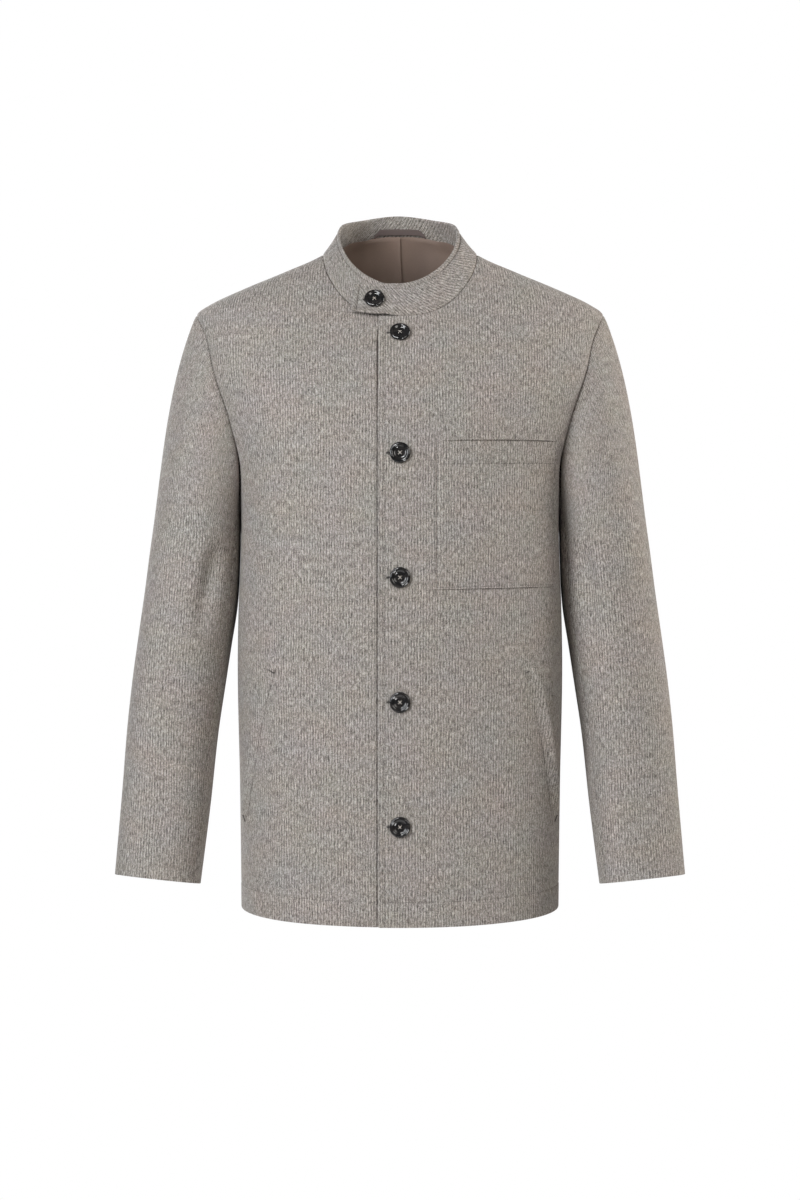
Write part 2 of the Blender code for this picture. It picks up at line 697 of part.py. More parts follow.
def main():
    clear_scene()
    parts = bpy.data.collections.new(NAME)
    bpy.context.scene.collection.children.link(parts)
    front_left = make_body_panel("front_left", True, FRONT_COLUMNS, parts, 1)
    front_right = make_body_panel("front_right", True, FRONT_COLUMNS, parts, -1, True)
    for side, word, front in ((1, "left", front_left), (-1, "right", front_right)):
        make_body_panel(f"back_{word}", False, BACK_COLUMNS, parts, side)
        make_lining(f"lining_back_{word}", parts, side)
        make_sleeve_part(f"sleeve_top_{word}", SLEEVE_BACK_SEAM - 2 * math.pi, SLEEVE_FRONT_SEAM, parts, side)
        make_sleeve_part(f"sleeve_under_{word}", SLEEVE_FRONT_SEAM, SLEEVE_BACK_SEAM, parts, side)
        make_welt(f"pocket_welt_{word}", front, parts, side)
    collar_item = make_collar(parts)
    make_loop(parts)
    make_chest_pocket(front_left, parts)
    make_buttons(front_left, collar_item, parts)


main()
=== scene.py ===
"""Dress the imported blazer: cloth shells, sewing, buttons, light and camera, laid out as an add-on."""
import math

import bmesh
import bpy
import numpy as np
from bpy.props import FloatProperty, FloatVectorProperty, IntProperty, PointerProperty
from mathutils import Matrix, Vector


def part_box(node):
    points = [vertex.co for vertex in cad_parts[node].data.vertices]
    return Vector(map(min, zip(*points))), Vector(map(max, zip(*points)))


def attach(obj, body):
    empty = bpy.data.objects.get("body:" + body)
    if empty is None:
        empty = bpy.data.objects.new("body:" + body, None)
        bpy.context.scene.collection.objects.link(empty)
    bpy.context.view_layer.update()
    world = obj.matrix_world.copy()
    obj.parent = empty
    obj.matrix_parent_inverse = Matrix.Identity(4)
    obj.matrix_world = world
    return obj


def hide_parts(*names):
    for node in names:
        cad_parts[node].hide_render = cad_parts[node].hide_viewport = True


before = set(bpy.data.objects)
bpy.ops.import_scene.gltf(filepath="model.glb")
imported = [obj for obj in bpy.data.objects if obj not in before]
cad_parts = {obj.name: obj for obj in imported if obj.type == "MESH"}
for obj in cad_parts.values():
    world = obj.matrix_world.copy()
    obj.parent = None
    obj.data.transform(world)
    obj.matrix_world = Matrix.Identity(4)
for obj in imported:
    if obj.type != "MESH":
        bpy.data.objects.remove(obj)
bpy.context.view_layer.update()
BUTTON_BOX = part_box("front_button_3")

bl_info = {
    "name": "Blazer dresser",
    "version": (1, 0, 0),
    "blender": (4, 5, 0),
    "location": "View3D > Sidebar > Blazer",
    "description": "Makes the cloth, sewing, buttons and stage of a stand-collar blazer over its solids",
    "category": "Object",
}

BODY = "root"
CLOTH_MAP = "cloth"
RIB_PITCH = 0.0031

# Body: hem, underarm, and how far each front passes the centre line, with the set-in of the one underneath
HEM = -0.7368
HEM_DIP = 0.0074
UNDERARM = -0.285
LAP = 0.023
SLANT_FADE = 0.2
LAP_DROP = 0.0030
LAP_DROP_NEAR = math.radians(18)
LAP_DROP_FAR = math.radians(40)
SIDES = ((1, "left"), (-1, "right"))

# Lattice on which distances over the body are measured
LATTICE_LOW = HEM - 0.02
LATTICE_HIGH = 0.06
LATTICE_ROWS = 165
LATTICE_TURNS = 181

# Sections of the body from hem to nape
TORSO_COLUMNS = ("height", "half_width", "front_depth", "back_depth", "square", "back_square")
TORSO = (
    (-0.745, 0.1790, 0.1340, 0.1360, 2.50, 2.50),
    (-0.600, 0.1810, 0.1350, 0.1310, 2.50, 2.50),
    (-0.450, 0.1835, 0.1370, 0.1260, 2.50, 2.50),
    (-0.400, 0.1825, 0.1380, 0.1270, 2.50, 2.50),
    (-0.350, 0.1805, 0.1390, 0.1295, 2.50, 2.50),
    (-0.300, 0.1800, 0.1390, 0.1330, 2.45, 2.45),
    (-0.250, 0.1850, 0.1370, 0.1365, 2.40, 2.40),
    (-0.194, 0.2035, 0.1320, 0.1380, 2.40, 2.40),
    (-0.131, 0.2260, 0.1100, 0.1330, 2.40, 2.40),
    (-0.100, 0.2310, 0.0930, 0.1255, 2.30, 2.30),
    (-0.080, 0.2330, 0.0805, 0.1180, 2.25, 2.25),
    (-0.068, 0.2310, 0.0730, 0.1130, 2.20, 2.20),
    (-0.057, 0.2150, 0.0660, 0.1090, 2.15, 2.15),
    (-0.039, 0.1768, 0.0545, 0.1030, 2.10, 2.10),
    (-0.020, 0.1315, 0.0405, 0.0985, 2.05, 2.20),
    (0.000, 0.0885, 0.0300, 0.0940, 2.00, 2.60),
    (0.015, 0.0770, 0.0260, 0.0900, 2.00, 3.00),
    (0.032, 0.0700, 0.0230, 0.0850, 2.00, 2.80),
    (0.060, 0.0640, 0.0200, 0.0760, 2.00, 2.70),
)

# Neck seam and armhole
NECK_HALF = 0.0880
NECK_FRONT = 0.0800
NECK_BACK = 0.0843
NECK_SQUARE = 2.4
NECK_BACK_SQUARE = 2.4
NECK_SEARCH = (-0.120, 0.055)
NECK_SEARCH_STEPS = 40
LAP_TURN = math.asin(LAP / NECK_HALF)
ARMHOLE_MIDDLE = -0.1765
ARMHOLE_HALF = 0.1085
ARMHOLE_FRONT = 0.061
ARMHOLE_BACK = 0.070
ARMHOLE_EGG = 0.15

# Sleeve sections from the upper arm to the cuff: height, centre x and y, half width, half depth, and tilt and
# pitch in degrees
SLEEVE = (
    (-0.3300, 0.2312, -0.003, 0.0499, 0.0680, 7.0, 0.0),
    (-0.3920, 0.2366, -0.006, 0.0523, 0.0660, 7.0, 2.0),
    (-0.4373, 0.2430, -0.010, 0.0520, 0.0625, 6.5, 4.0),
    (-0.4824, 0.2490, -0.016, 0.0516, 0.0585, 6.3, 6.0),
    (-0.5272, 0.2544, -0.022, 0.0507, 0.0545, 6.3, 7.0),
    (-0.6158, 0.2618, -0.034, 0.0493, 0.0480, 6.3, 7.0),
    (-0.7030, 0.2700, -0.046, 0.0474, 0.0435, 6.3, 7.0),
)
SLEEVE_SQUARE = 2.2
PLAIN_SEAM = 0.0006
SLEEVE_FRONT_SEAM = math.radians(150)
SLEEVE_BACK_SEAM = math.radians(255)
SLEEVE_PUSH = 0.0003

# Direction in which the sleeve leaves each quarter of the armhole
CAP = (
    ("top", 0.38, 0.00, -0.92),
    ("front", 0.42, -0.30, -0.86),
    ("under", 0.10, 0.00, -1.00),
    ("back", 0.42, 0.30, -0.86),
)

# Collar and its tab
COLLAR_BIAS = math.radians(50)
COLLAR_SHIFT = -0.002
COLLAR_HALF = 0.0668
COLLAR_MIDDLE = 0.008
COLLAR_DEPTH = 0.068
COLLAR_SQUARE = 2.2
COLLAR_RISE = (0.01775, -0.0495, -0.00925)
COLLAR_SAG = 0.0042
TAB_EASE = 0.2
TAB_STAND_REACH = 0.012
TAB_LENGTH = 0.054
TAB_FALL = 0.0045
TAB_NARROWING = 54.5

# Pockets
POCKET_INNER = 0.0376
POCKET_OUTER = 0.170
POCKET_TOP = -0.220
POCKET_BOTTOM = -0.381
POCKET_LIFT = 0.004
WELT_TOP = (0.147, -0.466)
WELT_BOTTOM = (0.174, -0.631)
WELT_WIDTH = 0.015
WELT_SEWN = 0.00035
WELT_STEP = 0.01
# The less, the sooner a welt lifts past its ends
WELT_OPENING = 0.4

# Mouth of the chest pocket: where its lip starts and ends across the pocket, and the groove below it
MOUTH_START = 0.03
MOUTH_START_OVER = 0.1
MOUTH_END = 0.93
MOUTH_END_OVER = 0.05
LIP_WIDTH = 0.0006
LIP_GROOVE = 0.0018
LIP_GROOVE_WIDTH = 0.0006
POCKET_DRAW = (("west", 2.0), ("east", 1.0), ("south", 1.0))

# Bar tacks at both ends of a hand pocket: length and fall of each, bars and width of its zigzag
TACKS = {"top": (0.0145, 0.0055), "bottom": (0.0100, 0.0062)}
TACK_BARS = 18
TACK_WIDTH = 0.0011
TACK_LIFT = 0.0003
TACK_THREAD = 1.7

# Buttons, loop and lining
BUTTON_TOP = -0.100
BUTTON_PITCH = 0.1339
FRONT_BUTTONS = 5
COLLAR_BUTTON_SHARE = 0.53
LOOP_HALF_TURN = math.radians(20.5)
LOOP_LOW = 0.13
LOOP_FALL = 0.20
LOOP_END = 0.03
LOOP_HIGH = 0.43
LOOP_LEVEL_SHARE = 0.82
LOOP_SEAT = 0.0009
LOOP_STAND = 0.0015
LINING_SHARE = 0.9
LINING_LOW = 0.05
LINING_HIGH = 2.95
LINING_GAP = 0.0006
CORNER_STEP = 0.0001
COVER_FALLING = {1: 0.70, -1: 0.86}
COVER_PART = 0.12
COVER_EASE = 0.08
COVER_HEIGHT = 0.045
COVER_LEAST = 0.02
COVER_NAPE = 0.03
COVER_NAPE_TO = 0.10
COVER_NAPE_FADE = 0.06
COVER_SIDE = 0.22
COVER_SIDE_FROM = 0.28
COVER_SIDE_OVER = 0.22
PLEAT_SHARE = 0.020
PLEAT_LEAST = 0.2
PLEAT_OPENING = 0.16
PLEAT_LIFT = 0.0022
PLEAT_REACH = 0.05

# Close grids on which each piece is worked out, as counts of lines across and along it
PANEL_ROWS = (110, 56, 61)
PANEL_STEPS = 61
SLEEVE_ROWS = (46, 97)
SLEEVE_STEPS = 73
COLLAR_STEPS = (361, 13)
LINING_ROWS = (110, 56)
LINING_STEPS = 73
LOOP_STEPS = (61, 9)
POCKET_STEPS = 61
WELT_STEPS = (13, 61)

# Mesh spacing of loop and welts, and of collar and lining as shares of the body's
LOOP_GRID = 0.0015
WELT_GRID = 0.003
COLLAR_GRID_SHARE = 0.8
LINING_GRID_SHARE = 1.3

# Mesh lines beside an edge: round its rim, as shares of the radius, round a stitch line, at hem and grooves
RIM_SHARES = (0.12, 0.45)
RIM_STRIP = 0.0014
STITCH_NEAR = 0.0007
STITCH_FAR = 0.0016
STITCH_CLEAR = 0.0018
HEM_LINES = (0.006, 0.012, 0.018)
GROOVE_LINES = (-0.0035, -0.002, -0.0012, -0.0006, 0.0, 0.0006, 0.0012, 0.002, 0.0035)
GROOVE_CLEAR = 0.006
LIP_LINES = (0.0010, 0.0014, 0.0018, 0.0022, 0.0028)
# Mesh lines that a row of stitches leaves free at a seam and over the hem
SEAM_LINES = 3
HEM_ROWS = 4

# How relief fades, in metres from an edge or in panel levels: 1 at the underarm, 2 at the neck's corner
SEAM_TURN_REACH = 0.006
ALLOWANCE_FADE = 0.0012
SEAM_DIP_FADE = 0.1
NECK_DIP_FADE = 0.02
EDGE_STITCH_END = 1.97
EDGE_STITCH_FADE = 0.03
GROOVE_END = 1.98
GROOVE_FADE = 0.02
GROOVE_DEEPENS = 1.5
GROOVE_DEEPENS_OVER = 0.3
GROOVE_DEEPER = 0.8

# Where a piece's weave starts on the cloth, so that neighbours differ
RIGHT_CLOTH = (0.0, 0.31)
SLEEVE_CLOTH = (0.7, 0.2)
COLLAR_CLOTH = (1.3, 0.0)

# Soft creases: steps along each, how far it reaches in half widths, and how its ends fade
CREASE_STEPS = 13
CREASE_REACH = 2.5
CREASE_FADE = 0.8
CREASE_UNIT = 1000
# Each crease, in millimetres: which cloth, three points that its line bends through, half width and depth
CREASES = (
    ("sleeve", (-204, -56, -330), (-212, -62, -372), (-226, -64, -440), 11, 7.8),
    ("sleeve", (-181, -26, -262), (-182, -28, -330), (-186, -28, -410), 10, -2.2),
    ("sleeve", (-214, -58, -300), (-224, -66, -350), (-236, -70, -405), 10, -2.2),
    ("sleeve", (203, -55, -325), (211, -61, -375), (224, -63, -450), 11, 7.8),
    ("sleeve", (181, -26, -262), (182, -28, -330), (186, -28, -410), 10, -2.2),
    ("sleeve", (213, -60, -310), (224, -66, -362), (236, -70, -420), 11, -2),
    ("sleeve", (212, 46, -405), (240, 58, -420), (274, 40, -410), 10, 3),
    ("sleeve", (222, 38, -455), (248, 46, -466), (284, 24, -450), 12, 2.6),
    ("sleeve", (204, 20, -370), (212, 46, -382), (238, 60, -372), 10, 2.4),
    ("sleeve", (-212, 44, -395), (-238, 58, -412), (-276, 36, -405), 11, 3.2),
    ("sleeve", (-226, 38, -447), (-250, 45, -452), (-280, 26, -440), 10, 2.2),
    ("sleeve", (-206, 24, -362), (-216, 50, -370), (-240, 62, -358), 11, 2.6),
    ("sleeve", (226, 68, -190), (232, 72, -255), (238, 66, -330), 14, 3),
    ("sleeve", (-224, 66, -200), (-232, 72, -262), (-240, 66, -325), 13, 2.6),
    ("sleeve", (258, -80, -560), (264, -86, -630), (266, -90, -695), 12, 1.4),
    ("sleeve", (-262, -78, -540), (-262, -84, -600), (-268, -88, -670), 13, 1.5),
    ("body", (152, 98, -300), (120, 124, -345), (66, 130, -385), 18, 3.4),
    ("body", (166, 84, -350), (130, 112, -398), (85, 126, -432), 16, 2.6),
    ("body", (-150, 98, -292), (-116, 124, -352), (-60, 130, -398), 19, 3.6),
    ("body", (-168, 82, -362), (-136, 108, -402), (-96, 122, -428), 15, 2.2),
    ("body", (92, 126, -510), (102, 128, -620), (108, 130, -760), 22, 3),
    ("body", (-84, 127, -480), (-96, 129, -610), (-104, 131, -760), 24, 3.2),
    ("body", (-30, 131, -560), (-34, 134, -660), (-40, 137, -760), 18, 1.8),
    ("body", (30, 138, -150), (75, 136, -172), (125, 124, -205), 18, 1.8),
    ("body", (-36, 138, -158), (-80, 136, -180), (-128, 124, -216), 17, 2),
    ("body", (166, -86, -285), (152, -112, -330), (128, -126, -400), 15, 1.4),
    ("body", (-166, -86, -285), (-150, -114, -335), (-122, -128, -410), 16, 1.6),
    ("body", (108, -128, -560), (114, -128, -650), (118, -127, -765), 22, 1.6),
    ("body", (-98, -129, -520), (-106, -129, -640), (-112, -128, -765), 24, 1.8),
    ("body", (150, -108, -440), (168, -90, -553), (178, -62, -665), 7, 6.6),
    ("body", (-154, -105, -440), (-170, -87, -553), (-180, -58, -665), 9, 1.6),
)

# Button outline, as shares of its radius and as heights
BUTTON_OUTLINE = (
    (0.000, 0.00200),
    (0.300, 0.00198),
    (0.480, 0.00205),
    (0.580, 0.00240),
    (0.640, 0.00300),
    (0.700, 0.00355),
    (0.780, 0.00385),
    (0.870, 0.00380),
    (0.940, 0.00340),
    (0.985, 0.00275),
    (1.000, 0.00215),
    (0.990, 0.00150),
    (0.950, 0.00090),
    (0.880, 0.00045),
    (0.760, 0.00015),
    (0.000, 0.00010),
)

# How a button is seated on the cloth, turned and pierced
SEAT_STEPS = 25
SEAT_SHARE = 0.9
SEAT_GAP = 0.0003
FRONT_SEAT_REACH = (0.09, 0.012)
TAB_SEAT_REACH = (0.14, 0.4)
TAB_SEAT_HEIGHT = 0.5
BUTTON_STEPS = 64
BUTTON_MERGE = 0.00001
BUTTON_SHARP = math.radians(40)
BUTTON_HOLES = 4
HOLE_STEPS = 16
HOLE_DEPTH = 0.02

# Thread cross on a button: two bars of two threads, arched over the middle and sunk at their ends
CROSS_TURNS = (0.25, 0.75)
CROSS_SHIFTS = (-0.00022, 0.00022)
CROSS_STEPS = 13
CROSS_TOP = 0.00245
CROSS_ARCH = 0.0006
CROSS_ARCH_POWER = 6
CROSS_END = 0.99
CROSS_SUNK = 0.0010
CROSS_THREAD = 0.00045

# Keyhole buttonhole: zigzag round a slit and its eye, then a near-black line along the slit, painted shade in
# the cut
KEYHOLE_STEPS = 150
KEYHOLE_INNER = 0.006
KEYHOLE_HALF = 0.0006
KEYHOLE_BITE = 0.0013
KEYHOLE_LIFT = 0.00025
KEYHOLE_THREAD = 0.00040
EYE_RADIUS = 0.0016
EYE_SHARE = 0.85
EYE_TURNS = (0.15, 1.85)
EYE_SHIFT = 0.2
SLIT_STEPS = 24
SLIT_LIFT = 0.00005
# Width and near-black colour of the line along the slit: painted shade in the cut, not thread
SLIT_SHADE_WIDTH = 0.00070
SLIT_SHADE_COLOUR = (0.03, 0.027, 0.025, 1.0)
TAB_KEYHOLE_SHARE = 0.9
TAB_SEARCH_TURN = 0.3
TAB_SEARCH_HEIGHTS = (0.2, 0.8)
TAB_SEARCH_STEPS = (80, 40)

# Inputs of the sewing trees: name, kind and default; then the sides of a stitch and of a thread
STITCH_INPUTS = (
    ("Path", "NodeSocketGeometry", None),
    ("Pitch", "NodeSocketFloat", 0.003),
    ("Length", "NodeSocketFloat", 0.0023),
    ("Thickness", "NodeSocketFloat", 0.0004),
    ("Wander", "NodeSocketFloat", 0.05),
    ("Seed", "NodeSocketInt", 7),
    ("Thread", "NodeSocketMaterial", None),
)
THREAD_INPUTS = tuple(row for row in STITCH_INPUTS if row[0] in ("Path", "Thickness", "Thread"))
STITCH_SIDES = 6
STITCH_RINGS = 5
STITCH_WANDER = 0.06
THREAD_SIDES = 6

# Patterns of the wool: scale and shift on the cloth, detail and roughness; then their weights in its tone
WOOL_PATTERNS = {
    "streak": ((1150.0, 130.0, 1.0), (0.0, 0.0, 0.0), 3.0, 0.65),
    "wander": ((60.0, 10.0, 1.0), (3.1, 7.7, 0.0), 2.0, 0.5),
    "patchy": ((46.0, 28.0, 1.0), (8.3, 2.9, 0.0), 2.0, 0.5),
    "grain": ((2300.0, 1500.0, 1.0), (5.3, 1.9, 0.0), 2.0, 0.65),
    "cross": ((150.0, 1000.0, 1.0), (2.3, 6.1, 0.0), 2.0, 0.5),
}
FLECK_SCALE = (1100.0, 760.0, 1.0)
RIB_WANDER = 9.0
TONE_WEIGHTS = {"streak": 1.75, "rib": 0.42, "fleck": 0.36, "grain": 0.95, "cross": 0.22}
BUMP_WEIGHT = 0.6

# Tints of the wool: fine and broad scale, shift, and the two colours
TINTS = (
    ((700.0, 260.0, 1.0), (24.0, 16.0, 1.0), (9.1, 4.2, 0.0), "wool_green", "wool_pink"),
    ((600.0, 200.0, 1.0), (18.0, 30.0, 1.0), (1.7, 8.3, 0.0), "wool_cool", "wool_warm"),
)
TINT_WEIGHTS = (0.9, 1.1)
TINT_ROUGHNESS = (0.6, 0.5)

# Satin, horn and thread: pattern scales, weights, and where two shades of a colour lie on a ramp
TWILL_SCALE = (1900.0, 500.0, 1.0)
CLOUD_SCALE = (30.0, 14.0, 1.0)
SATIN_WEIGHTS = (0.35, 0.5)
SATIN_SHADES = ((0.15, 0.78), (0.75, 1.22))
HORN_SCALE = (140.0, 140.0, 260.0)
HORN_STOPS = (0.42, 0.72)
POLISH_SCALE = (1500.0, 1500.0, 1500.0)
POLISH = (0.05, 0.12)
TWIST_SCALE = (2600.0, 2600.0, 2600.0)
THREAD_SHADES = ((0.3, 0.75), (0.7, 1.25))

# Relief and gloss of each finish
WOOL_BUMP = (0.35, 0.0006)
SATIN_BUMP = (0.15, 0.0003)
WOOL_GLOSS = {"Roughness": 0.88, "Specular IOR Level": 0.25, "Sheen Weight": 0.12, "Sheen Roughness": 0.5}
SATIN_GLOSS = {"Roughness": 0.60, "Specular IOR Level": 0.20, "Sheen Weight": 0.05}
HORN_GLOSS = {"Specular IOR Level": 0.6}
THREAD_GLOSS = {"Roughness": 0.7}
FLOOR_GLOSS = {"Roughness": 0.9}

# Camera, floor and lights
CAMERA_PLACE = (0.0, -2.4, -0.392)
CAMERA_LENS = 63.33
CAMERA_SENSOR = 36.0
FLOOR_HEIGHT = -1.5
FLOOR_RADIUS = 1.25
FLOOR_SIDES = 96
WHITE = (1.0, 1.0, 1.0, 1.0)
AMBIENT = 0.05
AMBIENT_COLOUR = (1.0, 0.94, 0.88, 1.0)
GLOSSY_AMBIENT = 0.10
# Each light: name, place, aim, size, power, colour, and whether it lights more than gloss
LIGHTS = (
    ("key_light", (-1.7, -2.0, 0.1), (0.0, 0.0, -0.35), 1.2, 38.0, (0.98, 1.0, 1.03), True),
    ("high_light", (-1.45, -2.2, 1.25), (0.0, 0.0, -0.35), 1.2, 31.0, (0.98, 1.0, 1.03), True),
    ("fill_light", (1.4, -2.1, 0.4), (0.0, 0.0, -0.35), 1.2, 19.0, (1.03, 0.99, 0.94), True),
    ("rim_light", (2.2, 0.4, 0.5), (0.0, 0.0, -0.35), 1.2, 44.0, (1.02, 0.99, 0.95), True),
    ("back_light", (-1.3, 2.0, 0.9), (0.0, 0.0, -0.30), 1.2, 50.0, (1.0, 1.0, 1.0), True),
    ("low_gleam", (0.9, -2.0, -1.4), (0.0, -0.1, -0.40), 0.5, 26.0, (1.0, 1.0, 1.0), False),
    ("high_gleam", (-0.5, -1.9, 0.9), (0.0, -0.1, -0.40), 0.5, 22.0, (1.0, 1.0, 1.0), False),
)

# Lines of stitches that the cloth pieces leave for the topstitching
SEWING = {}


class BlazerSizes(bpy.types.PropertyGroup):
    """Sizes of the cloth, sewing and buttons."""

    cloth: FloatProperty(name="Cloth", description="Thickness of the outer cloth",
        default=0.0016, precision=5, unit="LENGTH")
    collar_cloth: FloatProperty(name="Collar cloth", description="Thickness of the collar band",
        default=0.0022, precision=5, unit="LENGTH")
    patch_cloth: FloatProperty(name="Patch cloth", description="Thickness of pockets and welts",
        default=0.0012, precision=5, unit="LENGTH")
    lining_cloth: FloatProperty(name="Lining", description="Thickness of the lining",
        default=0.0008, precision=5, unit="LENGTH")
    seam_gap: FloatProperty(name="Seam gap", description="Space between two pieces at a seam",
        default=0.00004, precision=5, unit="LENGTH")
    patch_gap: FloatProperty(name="Patch gap", description="Space between a patch and the front",
        default=0.0002, precision=5, unit="LENGTH")
    grid: FloatProperty(name="Grid", description="Spacing of the cloth's mesh lines",
        default=0.0052, precision=4, unit="LENGTH")
    edge_stitch: FloatProperty(
        name="Front edge stitch", description="Stitch line's distance from the front edge",
        default=0.0065, precision=4, unit="LENGTH")
    collar_stitch: FloatProperty(
        name="Collar stitch", description="Stitch line's distance from the collar's edge",
        default=0.0060, precision=4, unit="LENGTH")
    hem_stitch: FloatProperty(name="Hem stitch", description="Stitch line's height over the hem",
        default=0.0270, precision=4, unit="LENGTH")
    pocket_hem: FloatProperty(name="Pocket hem", description="Stitch line's distance from the pocket's top",
        default=0.0267, precision=4, unit="LENGTH")
    pocket_stitch: FloatProperty(
        name="Pocket stitch", description="Stitch line's distance from the pocket's edge",
        default=0.0020, precision=4, unit="LENGTH")
    collar_draw: FloatProperty(
        name="Collar draw", description="How many times deeper the collar's stitch line lies",
        default=3.2)
    tab_stand: FloatProperty(name="Tab stand", description="How far the tab's low edge stands off the front",
        default=0.0046, precision=5, unit="LENGTH")
    welt_gape: FloatProperty(
        name="Welt gape", description="How far the left hand pocket's welt gapes at its mouth",
        default=0.0060, precision=5, unit="LENGTH")
    welt_gape_right: FloatProperty(name="Right welt gape", description="How far the right one gapes",
        default=0.0008, precision=5, unit="LENGTH")
    pocket_lip: FloatProperty(name="Pocket lip", description="How far the pocket's top edge stands out",
        default=0.0012, precision=5, unit="LENGTH")
    pocket_groove: FloatProperty(
        name="Pocket groove", description="Depth of the fold under the pocket's top edge",
        default=0.0016, precision=5, unit="LENGTH")
    trough: FloatProperty(name="Stitch trough", description="How deep a stitch line draws the cloth in",
        default=0.00045, precision=5, unit="LENGTH")
    trough_width: FloatProperty(name="Trough width", description="Half width of a stitch line's trough",
        default=0.0009, precision=5, unit="LENGTH")
    allowance: FloatProperty(name="Turning", description="Rise of the edge strip over the turned-in cloth",
        default=0.00025, precision=5, unit="LENGTH")
    press: FloatProperty(
        name="Pressed groove", description="Depth of the groove beside the overlapping front edge",
        default=0.0016, precision=5, unit="LENGTH")
    press_width: FloatProperty(name="Groove width", description="Half width of that groove",
        default=0.0010, precision=5, unit="LENGTH")
    press_offset: FloatProperty(
        name="Groove offset", description="Groove's distance past the overlapping edge",
        default=0.0010, precision=5, unit="LENGTH")
    seam_dip: FloatProperty(name="Seam dip", description="How far the armhole seam draws the cloth in",
        default=0.0016, precision=5, unit="LENGTH")
    neck_dip: FloatProperty(name="Neck dip", description="How far the neck seam draws the cloth in",
        default=0.0009, precision=5, unit="LENGTH")
    seam_reach: FloatProperty(name="Seam reach", description="How far from the seam that dip reaches",
        default=0.0018, precision=5, unit="LENGTH")
    stitch_pitch: FloatProperty(name="Stitch pitch", description="Distance from stitch to stitch",
        default=0.0030, precision=4, unit="LENGTH")
    stitch_length: FloatProperty(name="Stitch length", description="Length of one stitch",
        default=0.0023, precision=4, unit="LENGTH")
    thread: FloatProperty(name="Thread", description="Thickness of the sewing thread",
        default=0.00050, precision=5, unit="LENGTH")
    stitch_seed: IntProperty(name="Stitch seed", description="Fixed seed of the stitches' small wander",
        default=7)
    button_radius: FloatProperty(name="Button radius", description="Radius of a button",
        default=(BUTTON_BOX[1][0] - BUTTON_BOX[0][0]) / 2, precision=5, unit="LENGTH")
    button_hole: FloatProperty(name="Button hole", description="Radius of the sewing holes in a button",
        default=0.00095, precision=5, unit="LENGTH")
    button_hole_offset: FloatProperty(
        name="Hole offset", description="Distance of a sewing hole from the middle",
        default=0.0024, precision=5, unit="LENGTH")
    slit: FloatProperty(name="Buttonhole", description="Length of a buttonhole past the button's middle",
        default=0.0146, precision=4, unit="LENGTH")


class BlazerColours(bpy.types.PropertyGroup):
    """Colours of the cloth, thread, buttons and floor."""

    wool_dark: FloatVectorProperty(name="Wool dark", description="Darkest yarn",
        subtype="COLOR", size=4, default=(0.062, 0.054, 0.049, 1.0))
    wool_mid: FloatVectorProperty(name="Wool", description="Ground colour of the wool",
        subtype="COLOR", size=4, default=(0.320, 0.297, 0.279, 1.0))
    wool_light: FloatVectorProperty(name="Wool light", description="Lightest yarn",
        subtype="COLOR", size=4, default=(0.760, 0.728, 0.700, 1.0))
    wool_warm: FloatVectorProperty(name="Wool warm", description="Tint towards beige",
        subtype="COLOR", size=4, default=(1.00, 0.95, 0.87, 1.0))
    wool_cool: FloatVectorProperty(name="Wool cool", description="Tint towards blue-grey",
        subtype="COLOR", size=4, default=(0.92, 0.95, 0.98, 1.0))
    wool_pink: FloatVectorProperty(name="Wool pink", description="Tint towards rose",
        subtype="COLOR", size=4, default=(1.00, 0.93, 0.95, 1.0))
    wool_green: FloatVectorProperty(name="Wool green", description="Tint towards moss",
        subtype="COLOR", size=4, default=(0.93, 0.97, 0.93, 1.0))
    lining: FloatVectorProperty(name="Lining", description="Satin lining",
        subtype="COLOR", size=4, default=(0.226, 0.163, 0.130, 1.0))
    loop: FloatVectorProperty(name="Loop", description="Hanging loop",
        subtype="COLOR", size=4, default=(0.138, 0.108, 0.100, 1.0))
    horn: FloatVectorProperty(name="Horn", description="Dark ground of the buttons",
        subtype="COLOR", size=4, default=(0.010, 0.010, 0.011, 1.0))
    horn_cloud: FloatVectorProperty(name="Horn cloud", description="Paler clouds in the buttons",
        subtype="COLOR", size=4, default=(0.034, 0.030, 0.028, 1.0))
    thread: FloatVectorProperty(name="Thread", description="Topstitching thread",
        subtype="COLOR", size=4, default=(0.090, 0.080, 0.073, 1.0))
    button_thread: FloatVectorProperty(name="Button thread", description="Thread that holds the buttons",
        subtype="COLOR", size=4, default=(0.520, 0.480, 0.430, 1.0))
    floor: FloatVectorProperty(name="Floor", description="Plain floor",
        subtype="COLOR", size=4, default=(0.86, 0.86, 0.855, 1.0))


def unit(vectors):
    return vectors / np.linalg.norm(vectors, axis=-1, keepdims=True)


def mix(start, end, share):
    return start + (end - start) * share


def ease(share):
    share = np.clip(share, 0.0, 1.0)
    return share * share * (3.0 - 2.0 * share)


def bend(start, end, leave, arrive, share):
    """Cubic from start to end with the given directions at both ends."""
    square = share * share
    cube = square * share
    first = start * (2 * cube - 3 * square + 1) + leave * (cube - 2 * square + share)
    return first + end * (3 * square - 2 * cube) + arrive * (cube - square)


def inner_slopes(rises, steps):
    """Slope where two spans meet, each weighed by the other's length."""
    return (rises[:-1] * steps[1:] + rises[1:] * steps[:-1]) / (steps[1:] + steps[:-1])


def read_sections(table, height):
    """Every column of a table but its first, run smoothly through its rows."""
    rows = np.array(table)
    knots = rows[:, 0]
    values = rows[:, 1:]
    steps = np.diff(knots)[:, None]
    rises = np.diff(values, axis=0) / steps
    slopes = np.concatenate((rises[:1], inner_slopes(rises, steps), rises[-1:]))
    height = np.clip(height, knots[0], knots[-1])
    place = np.clip(np.searchsorted(knots, height, side="right") - 1, 0, len(knots) - 2)
    step = steps[place, 0]
    share = ((height - knots[place]) / step)[..., None]
    step = step[..., None]
    return bend(values[place], values[place + 1], slopes[place] * step, slopes[place + 1] * step, share)


